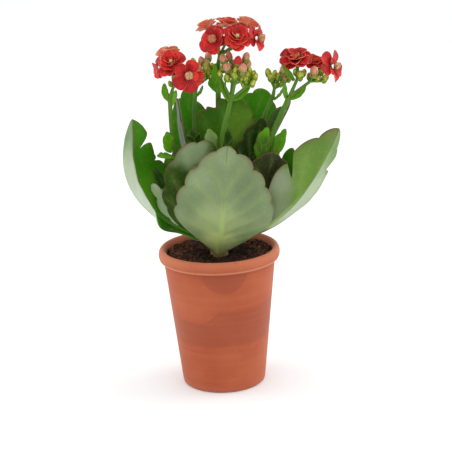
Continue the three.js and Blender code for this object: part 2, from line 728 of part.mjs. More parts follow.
// One petal: a thin lens with a pointed tip, its edges drawn in towards the root.
function petal(root, run, rise, length, width, rows) {
  const side = rise.clone().cross(run);
  const spot = (r, s, lift) =>
    root
      .clone()
      .addScaledVector(run, length * r)
      .addScaledVector(side, s)
      .addScaledVector(rise, lift + PETAL.hollow * length * r * r);
  const skin = new Skin();
  const ribs = rows.map(([r, share]) => ({
    left: spot(r, share * width, PETAL.edge),
    right: spot(r, -share * width, PETAL.edge),
    top: spot(r, 0, PETAL.thick / 2),
    under: spot(r, 0, -PETAL.thick / 2),
  }));
  const root1 = spot(0, 0.2 * width, 0);
  const root2 = spot(0, -0.2 * width, 0);
  const tip = spot(1, 0, 0);
  const first = ribs[0];
  const last = ribs[ribs.length - 1];
  skin.face(root1, first.top, first.left);
  skin.face(root1, root2, first.top);
  skin.face(root2, first.right, first.top);
  skin.face(root1, first.left, first.under);
  skin.face(root1, first.under, root2);
  skin.face(root2, first.under, first.right);
  for (let i = 0; i + 1 < ribs.length; i += 1) {
    const [low, high] = [ribs[i], ribs[i + 1]];
    skin.quad(low.left, low.top, high.top, high.left);
    skin.quad(low.top, low.right, high.right, high.top);
    skin.quad(low.under, low.left, high.left, high.under);
    skin.quad(low.right, low.under, high.under, high.right);
  }
  skin.face(last.left, last.top, tip);
  skin.face(last.top, last.right, tip);
  skin.face(last.under, last.left, tip);
  skin.face(last.right, last.under, tip);
  return skin.solid();
}

// True where a point is nearer to its own bloom than to any other.
function ownSide(bloom, point) {
  return BLOOMS.every((other) => {
    if (other === bloom) return true;
    const apart = vec(other.at).sub(vec(bloom.at));
    const middle = vec(bloom.at).addScaledVector(apart, 0.5);
    return point.clone().sub(middle).dot(apart.normalize()) < -0.6;
  });
}

function bloomSolid(bloom, index) {
  const axis = vec(bloom.facing).normalize();
  const across = new THREE.Vector3(1, 0.2, 0.1).cross(axis).normalize();
  const draw = draws(index + 11);
  const at = vec(bloom.at);
  const top = at.clone().addScaledVector(axis, CORE.height);
  const bodies = [rod([at, top], [CORE.radius, 0.85 * CORE.radius], { sides: 7 })];
  bloom.layers.forEach(([count, lift, share], layer) => {
    for (let i = 0; i < count; i += 1) {
      const turn = (2 * Math.PI * (i + 0.5 * layer + 0.12 * (draw() - 0.5))) / count;
      const out = across.clone().applyAxisAngle(axis, turn);
      const tilt = rad(lift + 6 * (draw() - 0.5));
      const run = out.clone().multiplyScalar(Math.cos(tilt)).addScaledVector(axis, Math.sin(tilt));
      const rise = axis.clone().multiplyScalar(Math.cos(tilt)).addScaledVector(out, -Math.sin(tilt));
      const root = at
        .clone()
        .addScaledVector(axis, 0.7 + 0.6 * layer)
        .addScaledVector(out, PETAL.rootOut);
      let length = bloom.radius * share * (0.94 + 0.12 * draw());
      while (length > 3 && !ownSide(bloom, root.clone().addScaledVector(run, length))) length *= 0.92;
      const width = Math.min(0.55 * length, (2.1 * bloom.radius * share) / count);
      bodies.push(petal(root, run, rise, length, width, layer === 0 ? OUTER : INNER));
    }
  });
  const whole = joined(bodies);
  return bloom.heart ? mainPiece(whole.subtract(heartSolid(bloom, GAP))) : mainPiece(whole);
}

// The cream bud still closed in the middle of a bloom.
function heartSolid(bloom, grow = 0) {
  const axis = vec(bloom.facing).normalize();
  const r = bloom.heart;
  const along = (rise) => vec(bloom.at).addScaledVector(axis, CORE.height + GAP + rise * r);
  const radii = [0.5 * r, r, 0.9 * r, 0.35 * r];
  return rod([along(0), along(0.6), along(1.3), along(1.8)], radii, { sides: 7, grow });
}

// ---- The plant, put together ---------------------------------------------------------------

const kalanchoe = new THREE.Group();

function addPiece(name, body, material) {
  const mesh = new THREE.Mesh(geometryOf(body), material);
  mesh.name = name;
  kalanchoe.add(mesh);
}

addPiece("pot", pot(), clay);
addPiece("soil", soil(), earth);
addPiece("crown", crown(), stemGreen);

for (const leaf of LEAVES) addPiece(leaf.name, seated(leafSolid(leaf)), leaf.finish);

for (const stalk of STALKS) {
  const blooms = BLOOMS.filter((bloom) => bloom.stalk === stalk.name);
  const top = stalk.path[stalk.path.length - 1];
  const pieces = [
    stem(stalk.path, stalk.radii, { sides: 6, steps: 7 }),
    ...stalk.branches.map((end) => stem([top, end], [TWIG.root, TWIG.end], { sides: 5, steps: 1 })),
    ...stalk.leaves.map(leafSolid),
    ...stalk.buds.map((spot) => bud(spot, stalk.branches)),
    ...blooms.map((bloom) => cup(bloom, stalk.branches)),
  ];
  addPiece(stalk.name, seated(joined(pieces)), stemGreen);
}

BLOOMS.forEach((bloom, index) => {
  addPiece(bloom.name, bloomSolid(bloom, index), red);
  if (bloom.heart) addPiece(`${bloom.name}_heart`, heartSolid(bloom), cream);
});

export default kalanchoe;
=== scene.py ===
"""A kalanchoe in flower, growing in a round clay pot.

Metres, +Z up, the pot stands on z = 0 and -Y is the plant's front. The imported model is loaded
first as the fixed frame, and each piece below stands for the nodes that it names.
"""

import math
import random

import bpy
import numpy as np
from mathutils import Matrix, Vector, noise


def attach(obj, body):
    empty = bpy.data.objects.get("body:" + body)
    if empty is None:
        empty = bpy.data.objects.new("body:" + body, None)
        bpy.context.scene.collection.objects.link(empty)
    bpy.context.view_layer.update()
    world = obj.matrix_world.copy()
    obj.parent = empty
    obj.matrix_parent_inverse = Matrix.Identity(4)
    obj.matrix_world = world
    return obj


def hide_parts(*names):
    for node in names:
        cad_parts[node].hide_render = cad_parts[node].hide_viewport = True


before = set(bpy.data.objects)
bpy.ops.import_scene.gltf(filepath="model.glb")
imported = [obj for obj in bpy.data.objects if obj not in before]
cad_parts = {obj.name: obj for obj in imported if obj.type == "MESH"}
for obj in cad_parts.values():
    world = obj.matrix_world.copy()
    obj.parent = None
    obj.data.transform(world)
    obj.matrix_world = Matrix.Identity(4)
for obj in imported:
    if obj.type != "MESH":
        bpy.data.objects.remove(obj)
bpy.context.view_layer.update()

# ---- Pot -------------------------------------------------------------------------------------
# A cone of unglazed red clay, turned on a wheel, with its rim rolled into a bead and three holes
# in its floor. It is matt and a little chalky, and two smoother patches on its wall are darker.

MM = 0.001
POT_SIDES = 128
FOOT = 28.6  # radius of the flat it stands on, mm
# The outline from the foot to the rim and down the inside, each place as radius and height in mm.
WALL_OUT = [(29.9, 0.3), (30.7, 1.0), (31.1, 2.4)] + [
    (31.1 + 10.2 * k / 8, 2.4 + 93.1 * k / 8) for k in range(1, 9)
]
BEAD = [
    (42.25 + 2.75 * math.cos(math.radians(a)), 100.25 + 4.75 * math.sin(math.radians(a)))
    for a in range(-112, 181, 12)
]
WALL_IN = [(39.3, 97.5), (37.3, 93.5), (26.5, 10.0), (25.6, 8.0), (23.5, 7.0)]
DRAIN_RADIUS, DRAIN_OUT = 3.0, 14.0


def alone():
    """Leaves nothing selected, so that an operator acts on the next piece only."""
    if bpy.context.object and bpy.context.object.mode != "OBJECT":
        bpy.ops.object.mode_set(mode="OBJECT")
    bpy.ops.object.select_all(action="DESELECT")


def added(operator, name, **settings):
    """What one of the add operators makes, under a name of its own."""
    alone()
    operator(**settings)
    bpy.context.object.name = name
    return bpy.context.object


def only(piece):
    """Makes a piece the one selected, and the active one."""
    alone()
    piece.select_set(True)
    bpy.context.view_layer.objects.active = piece
    return piece


def with_modifier(piece, kind, **settings):
    """Adds one modifier with its settings and applies it."""
    only(piece)
    modifier = piece.modifiers.new(kind.lower(), kind)
    for key, value in settings.items():
        setattr(modifier, key, value)
    bpy.ops.object.modifier_apply(modifier=modifier.name)


def finished(piece, finish, nodes):
    """Dresses a piece and has it stand for its nodes."""
    finish.dress(piece)
    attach(piece, "root")
    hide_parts(*nodes)


flat_foot = {"vertices": POT_SIDES, "radius": FOOT * MM, "fill_type": "NGON"}
pot = added(bpy.ops.mesh.primitive_circle_add, "clay_pot", **flat_foot)
bpy.ops.object.mode_set(mode="EDIT")
bpy.ops.mesh.select_all(action="SELECT")
radius, height = FOOT, 0.0
for next_radius, next_height in WALL_OUT + BEAD + WALL_IN:
    bpy.ops.mesh.extrude_region_move(
        TRANSFORM_OT_translate={"value": (0, 0, (next_height - height) * MM)}
    )
    ratio = next_radius / radius
    bpy.ops.transform.resize(value=(ratio, ratio, 1), center_override=(0, 0, next_height * MM))
    radius, height = next_radius, next_height
bpy.ops.mesh.select_all(action="SELECT")
bpy.ops.mesh.normals_make_consistent(inside=False)
bpy.ops.object.mode_set(mode="OBJECT")

for k in range(3):
    turn = 2 * math.pi * k / 3 + math.pi / 2
    drill = added(
        bpy.ops.mesh.primitive_cylinder_add,
        "drill",
        vertices=32,
        radius=DRAIN_RADIUS * MM,
        depth=30 * MM,
        location=(DRAIN_OUT * MM * math.cos(turn), DRAIN_OUT * MM * math.sin(turn), 0),
    )
    with_modifier(pot, "BOOLEAN", object=drill, operation="DIFFERENCE", solver="EXACT")
    bpy.data.objects.remove(drill)
only(pot)
bpy.ops.object.shade_smooth_by_angle(angle=math.radians(40))


def srgb(red, green, blue):
    """A colour given as 0 to 255, as the linear colour that a socket takes."""
    parts = [value / 255 for value in (red, green, blue)]
    return (*(p / 12.92 if p <= 0.04045 else ((p + 0.055) / 1.055) ** 2.4 for p in parts), 1)


class Value:
    """A socket that reads like a number: an expression on it adds the Math nodes."""

    def __init__(self, finish, socket):
        self.finish = finish
        self.socket = socket

    def math(self, operation, *others):
        inputs = dict(enumerate((self, *others)))
        return self.finish.node("ShaderNodeMath", {"operation": operation}, inputs)

    def __add__(self, other):
        return self.math("ADD", other)

    __radd__ = __add__

    def __mul__(self, other):
        return self.math("MULTIPLY", other)

    __rmul__ = __mul__

    def __sub__(self, other):
        return self.math("SUBTRACT", other)

    def __rsub__(self, other):
        return (self * -1) + other

    def __truediv__(self, other):
        return self.math("DIVIDE", other)

    def __pow__(self, other):
        return self.math("POWER", other)

    def __abs__(self):
        return self.math("ABSOLUTE")

    def step(self, low, high):
        """0 below low and 1 above high, with a soft rise between; low may be the larger."""
        settings = {"interpolation_type": "SMOOTHSTEP", "clamp": True}
        flip = low > high
        inputs = {0: self, 1: min(low, high), 2: max(low, high), 3: float(flip), 4: float(not flip)}
        return self.finish.node("ShaderNodeMapRange", settings, inputs)


class Finish:
    """A material's nodes, with the shader's own sockets set by name."""

    def __init__(self, name, specular=0.3, softness=0.0):
        self.material = bpy.data.materials.new(name)
        self.material.use_nodes = True
        self.nodes = self.material.node_tree.nodes
        self.links = self.material.node_tree.links
        self.shader = self.nodes["Principled BSDF"]
        self.set(self.shader, "Specular IOR Level", specular)
        if softness:
            self.set(self.shader, "Subsurface Weight", softness)
            self.set(self.shader, "Subsurface Radius", (0.5, 1.0, 0.2))
            self.set(self.shader, "Subsurface Scale", 1.5 * MM)

    def set(self, node, key, value):
        """Links or sets a socket. A colour of three numbers is given as 0 to 255."""
        socket = node.inputs[key]
        if isinstance(value, Value):
            self.links.new(value.socket, socket)
        elif socket.type == "RGBA" and len(value) == 3:
            socket.default_value = srgb(*value)
        else:
            socket.default_value = value

    def node(self, kind, settings=None, inputs=None, out=0):
        made = self.nodes.new(kind)
        for key, value in (settings or {}).items():
            setattr(made, key, value)
        for key, value in (inputs or {}).items():
            self.set(made, key, value)
        return Value(self, made.outputs[out])

    def place(self):
        """Object coordinates, in metres."""
        return self.node("ShaderNodeTexCoord", out="Object")

    def parts(self, vector):
        """The three numbers of a vector."""
        return [self.node("ShaderNodeSeparateXYZ", None, {0: vector}, axis) for axis in range(3)]

    def form(self):
        """The three marks that a drawn piece carries at each of its points."""
        return self.parts(
            self.node("ShaderNodeAttribute", {"attribute_name": "form"}, out="Vector")
        )

    def patch(self, spot, radius):
        """1 round a spot given in mm, fading out by the radius."""
        inputs = {0: self.place(), 1: tuple(v * MM for v in spot)}
        apart = self.node("ShaderNodeVectorMath", {"operation": "DISTANCE"}, inputs, "Value")
        ragged = (self.noise(90, 3) - 0.5) * (0.5 * radius * MM)
        return (apart + ragged).step(radius * MM, 0.35 * radius * MM)

    def noise(self, scale, detail=3.0, stretch=None, rough=0.5, out=0):
        where = self.place()
        if stretch:
            where = self.node("ShaderNodeMapping", None, {"Vector": where, "Scale": stretch})
        inputs = {"Vector": where, "Scale": scale, "Detail": detail, "Roughness": rough}
        return self.node("ShaderNodeTexNoise", None, inputs, out)

    def mix(self, share, first, second):
        settings = {"data_type": "RGBA", "clamp_factor": True}
        return self.node("ShaderNodeMix", settings, {0: share, 6: first, 7: second}, 2)

    def coat(self, tone, *layers):
        """A tone with tints laid over it in turn, each as its share and colour."""
        for share, tint in layers:
            tone = self.mix(share, tone, tint)
        return tone

    def colour(self, tone, *layers):
        self.set(self.shader, "Base Color", self.coat(tone, *layers))

    def rough(self, value):
        self.set(self.shader, "Roughness", value)

    def bump(self, height, distance):
        inputs = {"Strength": 1.0, "Distance": distance, "Height": height}
        self.set(self.shader, "Normal", self.node("ShaderNodeBump", None, inputs))

    def dress(self, piece):
        piece.data.materials.clear()
        piece.data.materials.append(self.material)


clay = Finish("red_clay", 0.42)
clay.set(clay.shader, "Sheen Weight", 0.16)
clay.set(clay.shader, "Sheen Roughness", 0.45)
clay.set(clay.shader, "Sheen Tint", (255, 214, 190))
spot_x, spot_y, spot_z = clay.parts(clay.place())
mottle = clay.noise(28, 4)
rings = clay.noise(1.0, 4, stretch=(14, 14, 520))
grain = clay.noise(900, 2)
wander = spot_z + (clay.noise(26, 2) - 0.5) * 0.010
# The half-round patch under the rim and the broad one across the middle are darker and less rough.
patch_far = ((spot_x - 3 * MM) ** 2 + (spot_z - 97 * MM) ** 2) ** 0.5
half_round = patch_far.step(17.2 * MM, 16.2 * MM) * spot_y.step(0, -20 * MM)
half_round = half_round * spot_z.step(96 * MM, 95 * MM)
shoulder = spot_x.step(-14 * MM, -1 * MM) * (9 * MM)
broad = (spot_z - shoulder).step(57.5 * MM, 56 * MM) * spot_z.step(37.5 * MM, 38.8 * MM)
darker_smoother = half_round.math("MAXIMUM", broad)
# The rim and the foot are chalky; a pale line on the bead's lower edge is a painted highlight.
chalk, foot_dust = wander.step(95 * MM, 104 * MM), wander.step(7 * MM, 1 * MM)
painted_bead_highlight = spot_z.step(96.0 * MM, 96.5 * MM) * spot_z.step(98.2 * MM, 97.2 * MM)
clay.colour(
    clay.mix(mottle.step(0.3, 0.72), (163, 70, 34), (177, 86, 48)),
    (rings.step(0.4, 0.75) * 0.2, (188, 102, 66)),
    (darker_smoother * 0.5, (144, 60, 24)),
    (chalk * 0.34, (208, 132, 94)),
    (painted_bead_highlight * 0.34, (226, 158, 124)),
    (foot_dust * 0.3, (190, 112, 80)),
    (clay.noise(420, 1).step(0.7, 0.76) * 0.3, (104, 48, 32)),
)
clay.rough(0.7 - darker_smoother * 0.1)
clay.bump(rings * 0.5 + grain * 0.3 + mottle * 0.3, 0.35 * MM)
finished(pot, clay, ["pot"])

# ---- Soil ------------------------------------------------------------------------------------
# Damp peat fills the pot to just under its rim. It is a bed of dark crumbs, with loose crumbs
# and reddish brown fibres lying on it.

LIP, BED_FOOT = 39.05, 37  # radius of the bed at its top and at its underside, mm
BED_TOP, BED_DEPTH = 99, 6
BED_RINGS, RING_WIDTH = 13, 2.9
CRUMBS, FIBRES = 340, 230
GRAINS = random.Random(4)


def bed_height(x, y):
    """How high the bed stands at a place, all in mm."""
    crumbs = math.sin(0.42 * x + 1) * math.cos(0.38 * y) + 0.5 * math.sin(0.8 * (x - y))
    bank = 1.4 * (math.hypot(x, y) / LIP) ** 2
    coarse = noise.noise(Vector((x, y, 3)) * 0.3)
    fine = noise.noise(Vector((x, y, 9)) * 0.9)
    return BED_TOP + bank + 0.8 * crumbs + 1.5 * coarse + 0.9 * fine


soil = added(
    bpy.ops.mesh.primitive_cylinder_add,
    "soil_bed",
    vertices=96,
    radius=LIP * MM,
    depth=BED_DEPTH * MM,
    location=(0, 0, (BED_TOP - BED_DEPTH / 2) * MM),
)
bpy.ops.object.transform_apply(location=True)
bpy.ops.object.mode_set(mode="EDIT")
bpy.ops.mesh.select_all(action="DESELECT")
bpy.ops.object.mode_set(mode="OBJECT")
for face in soil.data.polygons:
    face.select = face.normal.z > 0.9
bpy.ops.object.mode_set(mode="EDIT")
for _ in range(BED_RINGS):
    bpy.ops.mesh.inset(thickness=RING_WIDTH * MM, use_boundary=True)
bpy.ops.mesh.poke()
bpy.ops.object.mode_set(mode="OBJECT")
with_modifier(soil, "SUBSURF", subdivision_type="SIMPLE", levels=2, render_levels=2)
for vertex in soil.data.vertices:
    if vertex.co.z > (BED_TOP - 0.1) * MM:
        vertex.co.z = bed_height(vertex.co.x / MM, vertex.co.y / MM) * MM
    elif vertex.co.z < (BED_TOP - BED_DEPTH + 0.1) * MM:
        vertex.co.x *= BED_FOOT / LIP
        vertex.co.y *= BED_FOOT / LIP


def painted_shade_round_stems(finish):
    """A layer of colour: painted shade, nearly black, on the peat round the stems."""
    return finish.patch((1, -6, 100), 36) * 0.7, (14, 9, 7)


peat = Finish("damp_peat", 0.2)
lumps = peat.noise(260, 5, rough=0.65)
threads = peat.noise(110, 3, stretch=(1, 3.2, 1))
peat.colour(
    peat.mix(lumps.step(0.38, 0.66), (26, 15, 10), (96, 60, 42)),
    (threads.step(0.56, 0.7) * 0.5, (104, 62, 42)),
    painted_shade_round_stems(peat),
)
peat.rough(0.95)
peat.bump(lumps, 1.4 * MM)
finished(soil, peat, ["soil"])


def joined(name, pieces):
    """The pieces as one object with that name."""
    alone()
    for piece in pieces:
        piece.select_set(True)
    bpy.context.view_layer.objects.active = pieces[0]
    if len(pieces) > 1:
        bpy.ops.object.join()
    whole = bpy.context.object
    whole.name = whole.data.name = name
    return whole


def copy_of(piece):
    twin = piece.copy()
    twin.data = piece.data.copy()
    bpy.context.collection.objects.link(twin)
    return twin


def on_bed(margin):
    """A place on the bed, clear of the stems in its middle."""
    while True:
        x, y = (GRAINS.uniform(-LIP, LIP) for _ in range(2))
        if 8 < math.hypot(x, y) < LIP - margin:
            return x, y


crumb = added(bpy.ops.mesh.primitive_ico_sphere_add, "crumb", subdivisions=2, radius=1)
for vertex in crumb.data.vertices:
    vertex.co *= 0.75 + 0.5 * noise.noise(vertex.co * 1.3)
crumbs = []
for _ in range(CRUMBS):
    x, y = on_bed(1.5)
    size = GRAINS.uniform(0.35, 1.25) ** 1.4
    twin = copy_of(crumb)
    spin = Matrix.Rotation(
        GRAINS.uniform(0, 6.28), 4, Vector((GRAINS.random(), 1, GRAINS.random()))
    )
    scale = Matrix.Diagonal((size * MM, size * 0.8 * MM, size * 0.7 * MM, 1))
    spot = Matrix.Translation(Vector((x, y, bed_height(x, y) + 0.2 * size)) * MM)
    twin.data.transform(spot @ scale @ spin)
    crumbs.append(twin)
bpy.data.objects.remove(crumb)
soil_crumbs = joined("soil_crumbs", crumbs)
only(soil_crumbs)
bpy.ops.object.shade_smooth_by_angle(angle=math.radians(50))
dark_peat = Finish("dry_crumb")
crumb_shade = dark_peat.noise(300, 3)
crumb_tone = dark_peat.mix(crumb_shade.step(0.35, 0.7), (40, 24, 16), (126, 80, 56))
dark_peat.colour(crumb_tone, painted_shade_round_stems(dark_peat))
dark_peat.rough(0.95)
dark_peat.bump(dark_peat.noise(1500, 2), 0.3 * MM)
finished(soil_crumbs, dark_peat, ["soil"])

strand = added(bpy.ops.mesh.primitive_cylinder_add, "strand", vertices=5, radius=0.16, depth=1)
bpy.ops.object.mode_set(mode="EDIT")
for cut_at in (0.2, -0.15):
    bpy.ops.mesh.select_all(action="SELECT")
    bpy.ops.mesh.bisect(plane_co=(0, 0, cut_at), plane_no=(0, 0, 1))
bpy.ops.object.mode_set(mode="OBJECT")
fibres = []
for _ in range(FIBRES):
    x, y = on_bed(3)
    long = GRAINS.uniform(2.0, 6.5)
    heading = GRAINS.uniform(0, math.pi)
    twin = copy_of(strand)
    bow = GRAINS.uniform(-0.5, 0.5)
    thick = GRAINS.uniform(0.7, 1.5)
    for vertex in twin.data.vertices:
        along = vertex.co.z
        side = thick * vertex.co.x + bow * (0.25 - along * along) * 2
        flat_x = along * long * math.cos(heading) - side * math.sin(heading)
        flat_y = along * long * math.sin(heading) + side * math.cos(heading)
        rise = thick * vertex.co.y + 0.35 + 0.5 * (0.25 - along * along)
        there = Vector((x + flat_x, y + flat_y, 0))
        there.z = bed_height(there.x, there.y) + rise
        vertex.co = there * MM
    fibres.append(twin)
bpy.data.objects.remove(strand)
soil_fibres = joined("soil_fibres", fibres)
bark = Finish("peat_fibre")
bark_tone = bark.mix(bark.noise(90, 2).step(0.4, 0.65), (70, 42, 28), (150, 98, 66))
bark.colour(bark_tone, painted_shade_round_stems(bark))
bark.rough(0.85)
bark.bump(bark.noise(1200, 2), 0.2 * MM)
finished(soil_fibres, bark, ["soil"])

# ---- Crown -----------------------------------------------------------------------------------
# The short fleshy stems that every leaf and stalk grows from: one main stem that stands in the
# soil and three side shoots. They grew as one piece, green, with pale brown scars low down.

CROWN = [
    ([(0, -3, 74), (0, -3, 101), (1, -1, 125), (3, 2, 148)], [6, 6.6, 5.4, 3.6]),
    ([(-1, -2, 102), (-9, -1, 112), (-14, 1, 126), (-17, 2, 140)], [4.6, 4.2, 3.6, 3]),
    ([(1, -2, 102), (9, 0, 113), (16, 2, 127), (20, 3, 141)], [4.6, 4.2, 3.8, 3.2]),
    ([(0, 0, 103), (0, 10, 114), (-1, 16, 128), (-1, 18, 146)], [4.6, 4.2, 3.6, 3]),
]


def smooth_path(path, count):
    """Evenly spaced places on a smooth curve through the given ones."""
    knots = np.array(path, float)
    knots = np.vstack([2 * knots[0] - knots[1], knots, 2 * knots[-1] - knots[-2]])
    places = []
    for k in range(1, len(knots) - 2):
        a, b, c, d = knots[k - 1 : k + 3]
        legs = (np.linalg.norm(q - p) for p, q in ((a, b), (b, c), (c, d)))
        first, middle, last = (max(leg, 1e-6) ** 0.5 for leg in legs)
        leave = ((b - a) / first - (c - a) / (first + middle) + (c - b) / middle) * middle
        arrive = ((c - b) / middle - (d - b) / (middle + last) + (d - c) / last) * middle
        t = np.linspace(0, 1, 24, endpoint=False)[:, None]
        places.append(
            b
            + leave * t
            + (3 * (c - b) - 2 * leave - arrive) * t**2
            + (2 * (b - c) + leave + arrive) * t**3
        )
    places = np.vstack([*places, knots[-2:-1]])
    gone = np.concatenate([[0], np.cumsum(np.linalg.norm(np.diff(places, axis=0), axis=1))])
    even = np.linspace(0, gone[-1], count)
    return np.stack([np.interp(even, gone, places[:, axis]) for axis in range(3)], 1)


def drawn_ball(name, segments, rings, place):
    """A ball whose points go where place puts them, from how far up each is and its turn.

    place gives the points, in mm, and three marks for each, which the finish reads as "form".
    """
    detail = {"segments": segments, "ring_count": rings}
    piece = added(bpy.ops.mesh.primitive_uv_sphere_add, name, radius=1, **detail)
    piece.data.name = name
    spots = np.empty(len(piece.data.vertices) * 3)
    piece.data.vertices.foreach_get("co", spots)
    x, y, z = spots.reshape(-1, 3).T
    up = 1 - np.arccos(np.clip(z, -1, 1)) / math.pi
    points, marks = place(up, np.arctan2(y, x))
    piece.data.vertices.foreach_set("co", (points * MM).ravel())
    form = piece.data.attributes.new("form", "FLOAT_VECTOR", "POINT")
    form.data.foreach_set("vector", marks.astype(np.float32).ravel())
    piece.data.update()
    bpy.ops.object.mode_set(mode="EDIT")
    bpy.ops.mesh.select_all(action="SELECT")
    bpy.ops.mesh.normals_make_consistent(inside=False)
    bpy.ops.object.mode_set(mode="OBJECT")
    bpy.ops.object.shade_smooth()
    return piece


def off_poles(up):
    """0 at the two poles of a drawn ball, and 1 everywhere else."""
    return (up > 1e-4) & (up < 1 - 1e-4)


def tube(path, radii, sides=14, per_mm=0.8):
    """A round stem along a smooth path, with radii spread evenly along it and flat ends."""
    length = sum(math.dist(a, b) for a, b in zip(path, path[1:]))
    rings = max(5, int(length * per_mm)) + 2
    centres = smooth_path(path, rings - 1)
    ahead = np.gradient(centres, axis=0)
    ahead /= np.linalg.norm(ahead, axis=1, keepdims=True)
    across = np.cross(ahead, (0.31, 0.95, 0.05))
    across /= np.linalg.norm(across, axis=1, keepdims=True)
    other = np.cross(ahead, across)

    def place(up, turn):
        ring = np.rint(up * rings).astype(int)
        pole = (ring == 0) | (ring == rings)
        here = np.clip(ring - 1, 0, rings - 2)
        share = here / (rings - 2)
        thick = np.interp(share, np.linspace(0, 1, len(radii)), radii) * ~pole
        out = across[here] * np.cos(turn)[:, None] + other[here] * np.sin(turn)[:, None]
        return centres[here] + out * thick[:, None], np.stack([share, turn, 0 * turn], 1)

    return drawn_ball("stem", sides, rings, place)


def grown_together(name, tubes, voxel):
    """Stems merged into one skin, with soft joints."""
    whole = joined(name, tubes)
    with_modifier(whole, "REMESH", mode="VOXEL", voxel_size=voxel * MM)
    with_modifier(whole, "SMOOTH", factor=0.5, iterations=4)
    only(whole)
    bpy.ops.object.shade_smooth()
    return whole


crown = grown_together("crown_stems", [tube(path, radii, 20) for path, radii in CROWN], 0.5)
outward = [vertex.normal.copy() for vertex in crown.data.vertices]
for vertex, out in zip(crown.data.vertices, outward):
    ring = math.sin(vertex.co.z / MM * 0.9 + 2 * noise.noise(vertex.co * 60))
    vertex.co += Vector((out.x, out.y, 0)) * (0.18 * ring * MM)
fleshy = Finish("fleshy_stem", 0.35)
stem_z = fleshy.parts(fleshy.place())[2]
corky = (stem_z + (fleshy.noise(120, 3) - 0.5) * 0.02).step(116 * MM, 103 * MM)
stem_tone = fleshy.mix(fleshy.noise(160, 3).step(0.35, 0.7), (66, 104, 26), (98, 132, 48))
fleshy.colour(stem_tone, (corky * 0.75, (112, 80, 48)))
fleshy.rough(0.5 + corky * 0.3)
fleshy.bump(fleshy.noise(700, 3), 0.3 * MM)
finished(crown, fleshy, ["crown"])

# ---- Leaves ----------------------------------------------------------------------------------
# Thick, waxy, oval blades with scalloped edges, cupped along a midrib that stands proud
# underneath. The upper side is green, the underside greyer, and the scallops have a pink brown rim.
# Each row: root, bend and tip of the midrib, the way the upper side looks, half width, colours
# and shape. A pair is for the plus and the minus side, and a notch is side, place, depth, breadth.

BLADE = {"petiole": 3.4, "rib": 2.0, "margin": 1.0}
LEAF = dict(
    widest=0.48, swell=1.25, round=0.55, root=3.4, lobes=(4, 4), lean=0.06, depth=2.8,
    smooth=0.35, halves=(1, 1), fold=(10, 10), curl=(0, 0), wave=0, cuts=(), nicks=(), slits=(),
    blade=BLADE, patches=(), wax=0.12,
)
# BACKLIT_GREEN is a leaf green painted bright, as painted light shining through leaves from behind.
BACKLIT_GREEN, MID, DEEP = (62, 142, 0), (60, 110, 14), (30, 62, 10)
SAGE, SAGE_GREEN, SLATE = (124, 146, 98), (92, 128, 56), (92, 104, 86)


def leaf_of(path, face, width, upper, under, slot, **shape):
    """A leaf's whole row, with what it leaves out taken from LEAF."""
    low_fold = shape.get("fold", LEAF["fold"])
    row = dict(path=path, face=face, width=width, upper=upper, under=under, slot=slot)
    return LEAF | {"low_fold": low_fold} | row | shape


